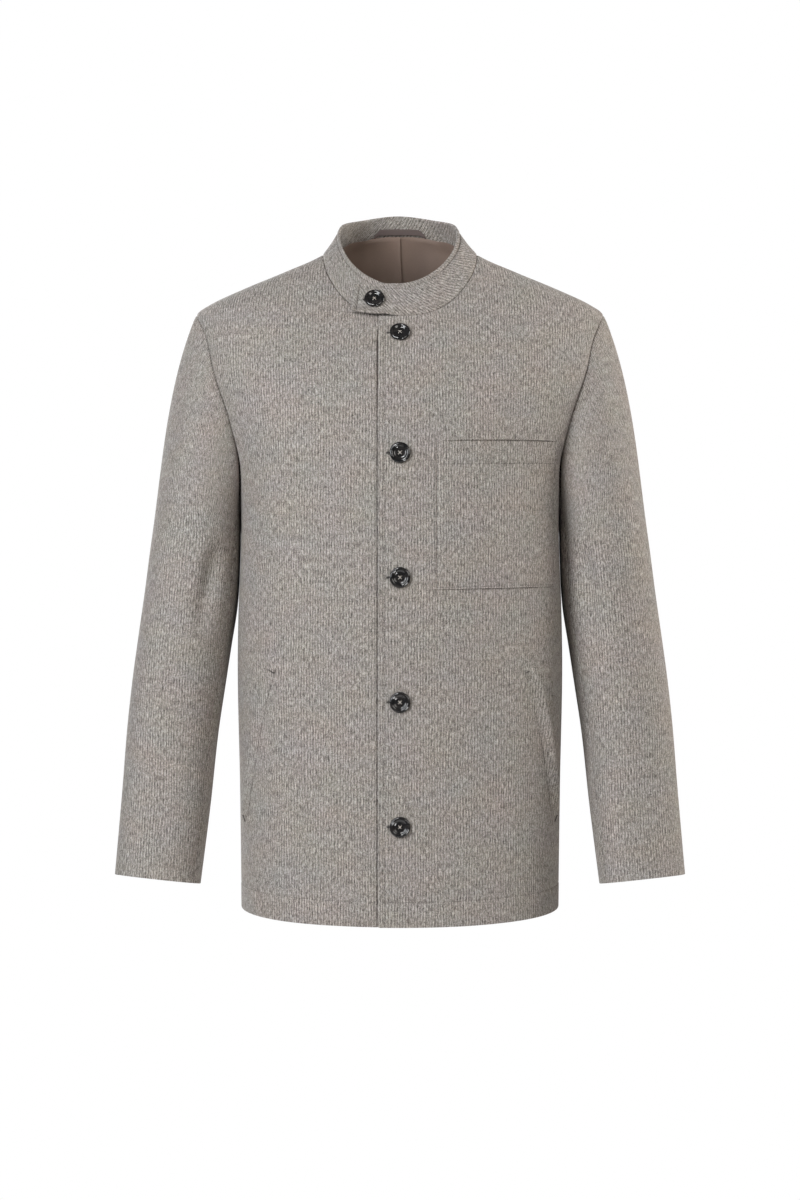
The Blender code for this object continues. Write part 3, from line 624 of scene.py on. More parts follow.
def torso_section(height):
    """Half width, front and back depth, and front and back squareness at a height."""
    values = read_sections(TORSO, np.asarray(height, dtype=float))
    return tuple(values[..., place] for place in range(len(TORSO_COLUMNS) - 1))


def oval(angle, square):
    """Sine and cosine of an angle, pushed out to a rounded square."""
    sine = np.sin(angle)
    cosine = np.cos(angle)
    reach = (np.abs(sine) ** square + np.abs(cosine) ** square) ** (-1.0 / square)
    return sine * reach, cosine * reach


def torso(angle, height):
    """Body surface: angle 0 at centre front, a quarter turn at the left side."""
    half_width, front, back, square, back_square = torso_section(height)
    across, ahead = oval(angle, np.where(np.cos(angle) > 0, square, back_square))
    depth = np.where(ahead > 0, front, back)
    return np.stack((half_width * across, -depth * ahead, height + 0.0 * angle), axis=-1)


def normals(surface, first, second, step=0.001):
    """Unit normals of a surface of two parameters."""
    along_first = surface(first + step, second) - surface(first - step, second)
    along_second = surface(first, second + step) - surface(first, second - step)
    return unit(np.cross(along_first, along_second))


def angle_from_side(x, height):
    """Body angle on the front at a distance from the centre line."""
    half_width, _, _, square, _ = torso_section(height)
    across = np.abs(x) / half_width
    ahead = (1.0 - across ** square) ** (1.0 / square)
    return np.sign(x) * np.arctan2(across, ahead)


def angle_from_depth(y, height):
    """Body angle on the left half at a distance before or behind the shoulder line."""
    _, front, back, square, back_square = torso_section(height)
    square = np.where(y < 0, square, back_square)
    ahead = np.abs(y) / np.where(y < 0, front, back)
    across = (1.0 - np.clip(ahead, 0.0, 1.0) ** square) ** (1.0 / square)
    return np.arctan2(across, np.where(y < 0, ahead, -ahead))


def neckline(turn):
    """Body angle and height of the neck seam, turn 0 at centre front and half a turn at the nape."""
    shown = np.maximum(turn, 0.0)
    across, ahead = oval(shown, np.where(np.cos(shown) > 0, NECK_SQUARE, NECK_BACK_SQUARE))
    x = NECK_HALF * across
    y = np.where(ahead > 0, NECK_FRONT, NECK_BACK) * ahead
    low = np.full_like(x, NECK_SEARCH[0])
    high = np.full_like(x, NECK_SEARCH[1])
    for _ in range(NECK_SEARCH_STEPS):
        middle = (low + high) / 2
        half_width, front, back, square, back_square = torso_section(middle)
        depth = np.where(ahead > 0, front, back)
        square = np.where(ahead > 0, square, back_square)
        inside = (x / half_width) ** square + np.abs(y / depth) ** square < 1.0
        low = np.where(inside, middle, low)
        high = np.where(inside, high, middle)
    half_width, front, back, _, _ = torso_section(low)
    angle = np.arctan2(x / half_width, y / np.where(ahead > 0, front, back))
    return np.where(turn < 0, angle_from_side(NECK_HALF * np.sin(turn), low), angle), low


def armhole(turn):
    """Body angle and height of the armhole seam, turn 0 at the shoulder, positive to the front."""
    height = ARMHOLE_MIDDLE + ARMHOLE_HALF * np.cos(turn)
    width = np.where(np.sin(turn) > 0, ARMHOLE_FRONT, ARMHOLE_BACK)
    y = -width * np.sin(turn) * (1.0 - ARMHOLE_EGG * np.cos(turn))
    return angle_from_depth(y, height), height


def armhole_turn(level, front):
    """Place on the armhole seam that a panel level meets."""
    turn = math.pi * (1.0 - np.clip((level - 1.0) / 2.0, 0.0, 1.0))
    return turn if front else -turn


def panel_place(share, level, front):
    """Body angle and height in a panel: share 0 at its centre edge, level 0 hem to 3 shoulder seam."""
    low = np.clip(level, 0.0, 1.0)
    middle = np.clip(level - 1.0, 0.0, 1.0)
    high = np.clip(level - 2.0, 0.0, 1.0)
    centre_turn = -LAP_TURN if front else math.pi
    neck_angle, neck_height = neckline(mix(centre_turn, math.pi / 2, high))
    corner_height = neckline(np.array([centre_turn]))[1][0]
    edge_height = mix(mix(HEM, UNDERARM, low), corner_height, middle)
    edge_angle = angle_from_side(-LAP, edge_height) if front else np.full_like(low, math.pi)
    inner_angle = np.where(level > 2.0, neck_angle, edge_angle)
    inner_height = np.where(level > 2.0, neck_height, edge_height)
    arm_angle, arm_height = armhole(armhole_turn(level, front))
    outer_angle = np.where(level > 1.0, arm_angle, math.pi / 2)
    outer_height = np.where(level > 1.0, arm_height, mix(HEM, UNDERARM, low))
    angle = mix(inner_angle, outer_angle, share)
    dip = HEM_DIP * np.maximum(np.cos(angle), 0.0) ** 2 * (1.0 - low)
    return angle, mix(inner_height, outer_height, share) - dip


def lap_drop(angle):
    """How far the cloth that lies underneath is set in near the centre front."""
    return LAP_DROP * (1.0 - ease((angle - LAP_DROP_NEAR) / (LAP_DROP_FAR - LAP_DROP_NEAR)))


def sleeve_start(turn):
    """Direction of the sleeve cloth where it leaves the armhole."""
    ways = {row[0]: np.array(row[1:]) for row in CAP}
    up = np.cos(turn)[..., None]
    ahead = np.sin(turn)[..., None]
    top = np.maximum(up, 0.0) ** 2 * ways["top"] + np.maximum(-up, 0.0) ** 2 * ways["under"]
    side = np.maximum(ahead, 0.0) ** 2 * ways["front"] + np.maximum(-ahead, 0.0) ** 2 * ways["back"]
    return unit(top + side)


def sleeve_ring(row, turn):
    """One section of the left sleeve, its plane tilted sideways and pitched up at the front."""
    height, centre_x, centre_y, half_width, half_depth, tilt, pitch = row
    ahead, outward = oval(turn, SLEEVE_SQUARE)
    x = half_width * outward
    y = -half_depth * ahead
    z = height + x * math.tan(math.radians(tilt)) - y * math.tan(math.radians(pitch))
    return np.stack((centre_x + x, centre_y + y, z), axis=-1)


def sleeve(turn, along):
    """Left sleeve: turn 0 outside and a quarter turn in front, along 0 at the armhole, 1 at each section."""
    stations = np.stack([torso(*armhole(turn))] + [sleeve_ring(row, turn) for row in SLEEVE])
    spans = np.diff(stations, axis=0)
    lengths = np.linalg.norm(spans, axis=-1, keepdims=True)
    rises = spans / lengths
    slopes = np.concatenate((sleeve_start(turn)[None], inner_slopes(rises, lengths), rises[-1:]))
    along = np.clip(along, 0.0, len(SLEEVE))
    place = np.minimum(along.astype(int), len(SLEEVE) - 1)
    share = (along - place)[..., None]

    def pick(values, offset=0):
        return np.take_along_axis(values, (place + offset)[None, ..., None], axis=0)[0]

    length = pick(lengths)
    return bend(pick(stations), pick(stations, 1), pick(slopes) * length, pick(slopes, 1) * length, share)


def seam_directions(own, other):
    """Directions through the wall at a seam, shared by both walls except in a deep fold."""
    facing = np.sum(own * other, axis=-1, keepdims=True)
    return unit(own + other * np.minimum(1.0, 1.0 + facing))


def collar_top(turn):
    """Top edge of the collar, turn 0 at centre front and positive to the left side."""
    level, first, second = COLLAR_RISE
    across, ahead = oval(turn, COLLAR_SQUARE)
    x = COLLAR_SHIFT + COLLAR_HALF * across
    y = COLLAR_MIDDLE - COLLAR_DEPTH * ahead
    sag = COLLAR_SAG * np.sin(2 * turn) ** 2 * (np.cos(turn) < 0)
    return np.stack((x, y, level + first * np.cos(turn) + second * np.cos(2 * turn) - sag), axis=-1)


def neck_point(turn):
    """Neck seam from under the left front, by the right side and the nape, to the left front's edge."""
    right = torso(*neckline(np.minimum(turn, math.pi))) * np.array((-1.0, 1.0, 1.0))
    left = torso(*neckline(np.minimum(2 * math.pi - turn, math.pi)))
    return np.where((turn < math.pi)[..., None], right, left)


def collar_ring(turn, share):
    """Collar band, share 0 at the neck seam and 1 at its top edge."""
    return mix(neck_point(turn), collar_top(-turn), share[..., None])


def collar_tab(turn, share):
    """Tab past centre front: its low edge runs straight on over the right front."""
    past = np.maximum(NECK_HALF * np.sin(turn), 0.0)
    reach = np.maximum(past - LAP, 0.0) / (TAB_LENGTH - LAP)
    height = neckline(np.zeros_like(turn))[1] + TAB_FALL * reach ** 2
    low = torso(angle_from_side(-past, height), height)
    top_share = 1.0 - (np.degrees(turn) / TAB_NARROWING) ** 2
    return mix(low, collar_ring(turn, top_share), share[..., None])


def collar(turn, share):
    """Whole collar: starts under the left front, runs round the neck and ends in the tab."""
    tab = collar_tab(np.maximum(turn - 2 * math.pi, 0.0), share)
    return np.where((turn > 2 * math.pi)[..., None], tab, collar_ring(turn, share))


def collar_end():
    return 2 * math.pi + math.asin(TAB_LENGTH / NECK_HALF)


def run_lengths(points):
    """Distance along every row of a grid of points."""
    steps = np.linalg.norm(np.diff(points, axis=1), axis=-1)
    return np.concatenate((np.zeros((len(points), 1)), np.cumsum(steps, axis=1)), axis=1)


def rise_lengths(points):
    """Distance up every column of a grid of points."""
    return run_lengths(points.swapaxes(0, 1)).swapaxes(0, 1)


def body_lattice():
    """Distance round the body and down its front and back, on a lattice of angles and heights."""
    heights = np.linspace(LATTICE_LOW, LATTICE_HIGH, LATTICE_ROWS)
    angles = np.linspace(0.0, math.pi, LATTICE_TURNS)
    angle, height = np.meshgrid(angles, heights)
    around = run_lengths(torso(angle, height))
    _, front, back, _, _ = torso_section(heights)
    down = [run_lengths(np.stack((depth, heights), axis=-1)[None])[0] for depth in (front, back)]
    return angles, heights, around, down


LATTICE = body_lattice()


def body_cloth(angle, height, front):
    """Place in the flat cloth, in metres: across from the centre line and up from the hem."""
    angles, heights, around, down = LATTICE
    column = np.clip(np.abs(angle) / math.pi, 0.0, 1.0) * (len(angles) - 1)
    row = np.clip((height - heights[0]) / (heights[-1] - heights[0]), 0.0, 1.0) * (len(heights) - 1)
    left = np.minimum(column.astype(int), len(angles) - 2)
    low = np.minimum(row.astype(int), len(heights) - 2)
    across = column - left
    up = row - low
    near = mix(around[low, left], around[low, left + 1], across)
    far = mix(around[low + 1, left], around[low + 1, left + 1], across)
    run = mix(near, far, up) * np.sign(angle)
    if not front:
        run = mix(around[low, -1], around[low + 1, -1], up) - run
    return np.stack((run, np.interp(height, heights, down[0 if front else 1])), axis=-1)


def respace(fields, first, last, pitch, names):
    """Move a grid's columns to set distances from its side edges and neck corner, and note the distances."""
    keys = list(fields)
    widths = [fields[key].shape[-1] for key in keys]
    stack = np.concatenate([fields[key] for key in keys], axis=-1)
    run = run_lengths(fields["point"])
    total = run[:, -1]
    corner = total
    if names[0] == "south" and "level" in fields:
        corner = np.array([np.interp(2.0, level, line) for level, line in zip(measure(fields, "level"), run)])
    low_count = max(2, round((corner.max() - first[-1]) / pitch))
    low_shares = np.linspace(0.0, 1.0, low_count + 1)[1:]
    high_count = max(1, round((total - corner).max() / pitch))
    high_shares = np.linspace(0.0, 1.0, high_count + 1)[1:-1]
    start = np.array(first)
    end = np.array(last)[::-1]
    spaced = []
    reached = []
    for row, length in enumerate(total):
        slant = fields["slant"][row, 0, 0] if names[0] == "west" and "slant" in fields else 1.0
        low = mix(start[-1] / slant, min(corner[row], length - end[0]), low_shares)
        high = mix(low[-1], length - end[0], high_shares)
        places = np.concatenate((start / slant, low if len(high) else low[:-1], high, length - end))
        spaced.append(np.stack([np.interp(places, run[row], line) for line in stack[row].T], axis=-1))
        reached.append(np.stack((places * slant - start[0], length - end[-1] - places), axis=-1))
    spaced = np.stack(spaced)
    reached = np.stack(reached)
    edges = np.cumsum(widths)[:-1]
    result = dict(zip(keys, np.split(spaced, edges, axis=-1)))
    result[names[0]] = reached[..., :1]
    result[names[1]] = reached[..., 1:]
    return result


def lay_out(fields, west, east, south, north, pitch):
    """Grid of cloth with its lines at set distances from all four edges."""
    fields = respace(fields, west, east, pitch, ("west", "east"))
    turned = {key: value.swapaxes(0, 1) for key, value in fields.items()}
    turned = respace(turned, south, north, pitch, ("south", "north"))
    fields = {key: value.swapaxes(0, 1) for key, value in turned.items()}
    fields["normal"] = unit(fields["normal"])
    return fields


def edge_lines(thickness, gap, stitches=(), extra=()):
    """Distances from an edge at which mesh lines lie: its rounded rim, then each stitch line."""
    radius = thickness / 2
    lines = [0.0] + [share * radius for share in RIM_SHARES] + [radius, radius + RIM_STRIP]
    for place in stitches:
        lines = [line for line in lines if line <= radius or line < place - STITCH_CLEAR]
        lines += [line for line in (place - STITCH_FAR, place - STITCH_NEAR) if line > radius]
        lines += [place, place + STITCH_NEAR, place + STITCH_FAR]
    lines = sorted(set(lines) | set(extra))
    return [line + gap / 2 for line in lines]


def line_index(lines, gap, place):
    """Which of an edge's mesh lines lies at a distance."""
    return int(np.argmin(np.abs(np.array(lines) - gap / 2 - place)))


def rim(distance, thickness):
    """How far a wall's face is drawn in beside its rounded edge."""
    radius = thickness / 2
    inset = radius - np.clip(distance, 0.0, radius)
    return radius - np.sqrt(np.maximum(radius ** 2 - inset ** 2, 0.0))


def crease_rise(points, cloth):
    """Rise of the cloth at each point from the creases drawn on it."""
    rise = np.zeros(points.shape[:-1])
    shares = np.linspace(0.0, 1.0, CREASE_STEPS)[:, None]
    for kind, start, middle, end, half_width, depth in CREASES:
        if kind != cloth:
            continue
        start, middle, end = (np.array(point) / CREASE_UNIT for point in (start, middle, end))
        half_width, depth = half_width / CREASE_UNIT, depth / CREASE_UNIT
        control = 2 * middle - (start + end) / 2
        path = mix(mix(start, control, shares), mix(control, end, shares), shares)
        reach = CREASE_REACH * half_width
        near = np.all((points > path.min(axis=0) - reach) & (points < path.max(axis=0) + reach), axis=-1)
        if not near.any():
            continue
        spans = np.diff(path, axis=0)
        offsets = points[near][:, None] - path[:-1]
        along = np.clip(np.sum(offsets * spans, axis=-1) / np.sum(spans ** 2, axis=-1), 0.0, 1.0)
        gaps = np.linalg.norm(offsets - along[..., None] * spans, axis=-1)
        place = np.argmin(gaps, axis=1)
        rows = np.arange(len(place))
        travelled = (place + along[rows, place]) / len(spans)
        fade = np.sin(math.pi * np.clip(travelled, 0.0, 1.0)) ** CREASE_FADE
        rise[near] -= depth * fade * np.exp(-(gaps[rows, place] / half_width) ** 2)
    return rise


def stitch_relief(distance, place, sizes):
    """A stitch line's trough, with the strip outside it raised by what is turned in under it."""
    trough = -sizes.trough * np.exp(-((distance - place) / sizes.trough_width) ** 2)
    return trough + sizes.allowance * (1.0 - ease((distance - place) / ALLOWANCE_FADE + 1.0))


def measure(fields, key):
    """A grid's number at each point, such as its distance from an edge."""
    return fields[key][..., 0]


def seam_dip(fields, edge, sizes):
    """Cloth drawn in beside the armhole seam."""
    shown = ease((measure(fields, "level") - 1.0) / SEAM_DIP_FADE) if "level" in fields else 1.0
    return -shown * sizes.seam_dip * np.exp(-measure(fields, edge) / sizes.seam_reach)


def plain_seam(fields, edge, sizes):
    """Cloth drawn in beside a seam that is only pressed open."""
    return PLAIN_SEAM * np.exp(-measure(fields, edge) / sizes.seam_reach)


def neck_dip(fields, sizes):
    """Cloth of a front or back drawn in beside the neck seam."""
    shown = ease((measure(fields, "level") - 2.0) / NECK_DIP_FADE)
    return sizes.neck_dip * shown * np.exp(-measure(fields, "west") / sizes.seam_reach)


def nearest_edge(fields):
    """Distance from the nearest of a piece's four edges."""
    return np.minimum.reduce([fields[edge] for edge in ("west", "east", "south", "north")])


def shell_faces(fields, thickness, rise, relief=0.0):
    """Outer and inner face of a cloth wall whose rim is rounded, with relief on the outer face alone."""
    roll = rim(nearest_edge(fields), thickness)
    outer = fields["point"] + fields["normal"] * ((rise + relief)[..., None] - roll)
    inner = fields["point"] + fields["normal"] * (rise[..., None] - thickness + roll)
    return outer, inner


def link_object(name, data):
    """New object in the scene's own collection."""
    item = bpy.data.objects.new(name, data)
    bpy.context.scene.collection.objects.link(item)
    return item


def plain_mesh(item):
    """An object's shape with its modifiers, as a mesh of its own."""
    depsgraph = bpy.context.evaluated_depsgraph_get()
    return bpy.data.meshes.new_from_object(item.evaluated_get(depsgraph), depsgraph=depsgraph)


def add_object(name, mesh, material=None):
    """New piece that rides on the body."""
    if material is not None:
        mesh.materials.clear()
        mesh.materials.append(material)
    item = link_object(name, mesh)
    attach(item, BODY)
    return item


def add_shell(name, outer, inner, fields, material):
    """Closed cloth wall whose two faces meet in one line along the rim."""
    rows, columns = outer.shape[:2]
    count = rows * columns
    index = np.arange(count).reshape(rows, columns)
    back = index + count
    for edge in (np.s_[0], np.s_[-1], np.s_[:, 0], np.s_[:, -1]):
        back[edge] = index[edge]

    def quads(grid):
        return np.stack((grid[:-1, :-1], grid[:-1, 1:], grid[1:, 1:], grid[1:, :-1]), axis=-1).reshape(-1, 4)

    front_faces = quads(index)
    back_faces = quads(back)
    middle = (rows // 2, columns // 2)
    along = outer[middle[0], middle[1] + 1] - outer[middle]
    up = outer[middle[0] + 1, middle[1]] - outer[middle]
    if np.dot(np.cross(along, up), fields["normal"][middle]) < 0:
        front_faces = front_faces[:, ::-1]
    else:
        back_faces = back_faces[:, ::-1]
    faces = np.concatenate((front_faces, back_faces))
    places = np.concatenate((outer.reshape(-1, 3), inner.reshape(-1, 3)))
    cloth = np.tile(fields["cloth"].reshape(-1, 2), (2, 1))
    used, faces = np.unique(faces, return_inverse=True)
    faces = faces.reshape(-1, 4)
    mesh = bpy.data.meshes.new(name)
    mesh.from_pydata(places[used].tolist(), [], faces.tolist())
    layer = mesh.uv_layers.new(name=CLOTH_MAP)
    layer.data.foreach_set("uv", cloth[used][faces].reshape(-1))
    mesh.shade_smooth()
    mesh.update()
    return add_object(name, mesh, material)


def sew_cloth(context, node, faces, fields, finish, slot):
    """Add a cloth piece with the finish for its slot, and hide the solid it stands for."""
    item = add_shell(f"cloth_{node}", *faces, fields, finish(context, slot))
    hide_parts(node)


def panel_fields(front, side, under=False):
    """Front or back on a close grid, from hem to shoulder seam and centre edge to side seam."""
    low, middle, high = PANEL_ROWS
    bands = (
        np.linspace(0, 1, low, endpoint=False),
        np.linspace(1, 2, middle, endpoint=False),
        np.linspace(2, 3, high),
    )
    share, level = np.meshgrid(np.linspace(0, 1, PANEL_STEPS), np.concatenate(bands))
    angle, height = panel_place(share, level, front)
    normal = normals(torso, angle, height)
    point = torso(angle, height)
    if under:
        point = point - normal * lap_drop(angle)[..., None]
    turn = armhole_turn(level[:, -1], front)
    seam = seam_directions(normal[:, -1], normals(sleeve, turn, np.zeros_like(turn)))
    seam = np.where(level[:, -1:] > 1.0, seam, normal[:, -1])
    fields = {
        "point": point,
        "normal": normal,
        "seam": np.broadcast_to(seam[:, None], point.shape),
        "cloth": body_cloth(angle, height, front),
        "level": level[..., None],
    }
    if front:
        away = np.abs(point[..., 0] - point[:, :1, 0])
        slant = [np.interp(2 * LAP, run, gap) / (2 * LAP) for run, gap in zip(run_lengths(point), away)]
        slant = mix(np.array(slant), 1.0, ease((level[:, 0] - 2.0) / SLANT_FADE))
        fields["slant"] = np.broadcast_to(slant[:, None, None], level.shape + (1,))
    return mirror(fields, side)


def mirror(fields, side):
    """Turn a left piece into a right one."""
    flip = np.array((side, 1.0, 1.0))
    for key in ("point", "normal", "seam"):
        if key in fields:
            fields[key] = fields[key] * flip
    fields["cloth"] = fields["cloth"] * np.array((side, 1.0)) + np.array(RIGHT_CLOTH) * (side < 0)
    return fields


def turn_to_seam(fields, edge):
    """Let the wall's direction run over into the seam's direction beside an edge."""
    fields["normal"] = unit(mix(fields["seam"], fields["normal"], ease(fields[edge] / SEAM_TURN_REACH)))


class BLAZER_OT_fronts(bpy.types.Operator):
    """Make both fronts, with the stitched front edge and hem"""

    bl_idname = "blazer.fronts"
    bl_label = "Fronts"

    def execute(self, context):
        sizes = context.scene.blazer_sizes
        gap = sizes.seam_gap
        plain = edge_lines(sizes.cloth, gap)
        south = edge_lines(sizes.cloth, gap, (sizes.hem_stitch,), extra=HEM_LINES)
        reach = 2 * LAP + sizes.press_offset
        pressed = tuple(reach + step for step in GROOVE_LINES)
        spread = tuple(np.arange(GROOVE_CLEAR, reach - GROOVE_CLEAR, sizes.grid))
        for side, word in SIDES:
            west = edge_lines(sizes.cloth, gap, (sizes.edge_stitch,))
            if side < 0:
                west = edge_lines(sizes.cloth, gap, (), extra=spread + pressed)
            fields = lay_out(panel_fields(True, side, side < 0), west, plain, south, plain, sizes.grid)
            turn_to_seam(fields, "east")
            level = measure(fields, "level")
            ahead = measure(fields, "west")
            rise = crease_rise(fields["point"], "body") + seam_dip(fields, "east", sizes)
            rise -= neck_dip(fields, sizes)
            if side < 0:
                shown = 1.0 - ease((level - GROOVE_END) / GROOVE_FADE)
                shown = shown * (1.0 + GROOVE_DEEPER * ease((level - GROOVE_DEEPENS) / GROOVE_DEEPENS_OVER))
                rise -= shown * sizes.press * np.exp(-((ahead - reach) / sizes.press_width) ** 2)
            rise += stitch_relief(measure(fields, "south"), sizes.hem_stitch, sizes)
            if side > 0:
                shown = 1.0 - ease((level - EDGE_STITCH_END) / EDGE_STITCH_FADE)
                rise += shown * stitch_relief(ahead, sizes.edge_stitch, sizes)
            outer, inner = shell_faces(fields, sizes.cloth, rise)
            hem = line_index(south, gap, sizes.hem_stitch)
            first = line_index(west, gap, sizes.edge_stitch) if side > 0 else 0
            SEWING[f"front_hem_{word}"] = outer[hem, first:-SEAM_LINES]
            if side > 0:
                SEWING["front_edge"] = outer[:, first][level[:, 0] < GROOVE_END][HEM_ROWS:]
            sew_cloth(context, f"front_{word}", (outer, inner), fields, wool, "wool")
        return {"FINISHED"}


class BLAZER_OT_backs(bpy.types.Operator):
    """Make both halves of the back"""

    bl_idname = "blazer.backs"
    bl_label = "Backs"

    def execute(self, context):
        sizes = context.scene.blazer_sizes
        gap = sizes.seam_gap
        plain = edge_lines(sizes.cloth, gap)
        south = edge_lines(sizes.cloth, gap, (sizes.hem_stitch,), extra=HEM_LINES)
        hem = line_index(south, gap, sizes.hem_stitch)
        for side, word in SIDES:
            fields = lay_out(panel_fields(False, side), plain, plain, south, plain, sizes.grid)
            turn_to_seam(fields, "east")
            rise = crease_rise(fields["point"], "body") + seam_dip(fields, "east", sizes)
            rise -= plain_seam(fields, "west", sizes)
            rise -= neck_dip(fields, sizes)
            rise += stitch_relief(measure(fields, "south"), sizes.hem_stitch, sizes)
            outer, inner = shell_faces(fields, sizes.cloth, rise)
            SEWING[f"back_hem_{word}"] = outer[hem, SEAM_LINES:-SEAM_LINES]
            sew_cloth(context, f"back_{word}", (outer, inner), fields, wool, "wool")
        return {"FINISHED"}


def sleeve_fields(first_turn, last_turn, side):
    """Top or under sleeve on a close grid."""
    high, low = SLEEVE_ROWS
    along = np.concatenate((np.linspace(0, 1, high, endpoint=False), np.linspace(1, len(SLEEVE), low)))
    turn, along = np.meshgrid(np.linspace(first_turn, last_turn, SLEEVE_STEPS), along)
    normal = normals(sleeve, turn, along)
    point = sleeve(turn, along)
    body_normal = normals(torso, *armhole(turn[0]))
    seam = seam_directions(normal[0], body_normal)
    run = rise_lengths(point)
    folded = 0.5 - 0.5 * np.sum(normal[0] * body_normal, axis=-1, keepdims=True)
    push = body_normal * folded * SLEEVE_PUSH
    point = point + push[None] * (1.0 - ease(run / SEAM_TURN_REACH))[..., None]
    across = run_lengths(point)
    middle = int(np.argmin(np.abs(turn[0] - (0.0 if first_turn < 0 else math.pi))))
    cloth = np.stack((across - across[:, middle:middle + 1], run[-1:] - run), axis=-1)
    fields = {
        "point": point,
        "normal": normal,
        "seam": np.broadcast_to(seam[None], point.shape),
        "cloth": cloth + np.array(SLEEVE_CLOTH),
    }
    return mirror(fields, side)


class BLAZER_OT_sleeves(bpy.types.Operator):
    """Make the top and under sleeves of both arms"""

    bl_idname = "blazer.sleeves"
    bl_label = "Sleeves"

    def execute(self, context):
        sizes = context.scene.blazer_sizes
        plain = edge_lines(sizes.cloth, sizes.seam_gap)
        parts = (
            ("top", SLEEVE_BACK_SEAM - 2 * math.pi, SLEEVE_FRONT_SEAM),
            ("under", SLEEVE_FRONT_SEAM, SLEEVE_BACK_SEAM),
        )
        for side, word in SIDES:
            for part, first_turn, last_turn in parts:
                fields = sleeve_fields(first_turn, last_turn, side)
                fields = lay_out(fields, plain, plain, plain, plain, sizes.grid)
                turn_to_seam(fields, "south")
                rise = crease_rise(fields["point"], "sleeve") + seam_dip(fields, "south", sizes)
                for edge in ("west", "east"):
                    rise -= plain_seam(fields, edge, sizes)
                faces = shell_faces(fields, sizes.cloth, rise)
                sew_cloth(context, f"sleeve_{part}_{word}", faces, fields, wool, "wool")
        return {"FINISHED"}


class BLAZER_OT_collar(bpy.types.Operator):
    """Make the standing collar with its tab"""

    bl_idname = "blazer.collar"
    bl_label = "Collar"

    def execute(self, context):
        sizes = context.scene.blazer_sizes
        gap = sizes.seam_gap
        turns, rows = COLLAR_STEPS
        turn, share = np.meshgrid(np.linspace(-LAP_TURN, collar_end(), turns), np.linspace(0, 1, rows))
        normal = -normals(collar, turn, share)
        under = np.where(turn < math.pi, lap_drop(neckline(np.minimum(turn, math.pi))[0]), 0.0)
        point = collar(turn, share) - normal * under[..., None]
        run = np.broadcast_to(run_lengths(point)[rows // 2], turn.shape)
        sine, cosine = math.sin(COLLAR_BIAS), math.cos(COLLAR_BIAS)
        bias = np.array(((cosine, sine), (-sine, cosine)))
        cloth = np.stack((rise_lengths(point), run), axis=-1) @ bias + np.array(COLLAR_CLOTH)
        fields = {"point": point, "normal": normal, "turn": turn[..., None], "cloth": cloth}
        plain = edge_lines(sizes.collar_cloth, gap)
        east = edge_lines(sizes.collar_cloth, gap, (sizes.collar_stitch,))
        fields = lay_out(fields, plain, east, plain, east, sizes.grid * COLLAR_GRID_SHARE)
        line = line_index(east, gap, sizes.collar_stitch)
        low = measure(fields, "south")
        relief = stitch_relief(measure(fields, "north"), sizes.collar_stitch, sizes)
        past = ease((measure(fields, "turn") - 2 * math.pi) / TAB_EASE)
        relief += past * stitch_relief(measure(fields, "east"), sizes.collar_stitch, sizes)
        rise = past * sizes.tab_stand * (1.0 - ease(low / TAB_STAND_REACH))
        relief = relief * sizes.collar_draw
        relief -= (1.0 - past) * sizes.neck_dip * np.exp(-low / sizes.seam_reach)
        outer, inner = shell_faces(fields, sizes.collar_cloth, rise, relief)
        SEWING["collar_top"] = outer[-1 - line, SEAM_LINES:-line]
        SEWING["collar_tab_end"] = outer[SEAM_LINES:-line, -1 - line]
        sew_cloth(context, "collar", (outer, inner), fields, wool, "collar_wool")
        return {"FINISHED"}


def neck_cover(high, side):
    """Share of the collar that the lining laps over: high 0 at the nape, 1 at the shoulder."""
    falling = COVER_FALLING[side]
    nape = COVER_NAPE * (1.0 - ease((high - COVER_NAPE_TO) / COVER_NAPE_FADE))
    rising = ease((high - COVER_SIDE_FROM) / COVER_SIDE_OVER)
    sides = COVER_SIDE * (rising - ease((high - falling) / (1.0 - falling)))
    return COVER_LEAST + nape + sides


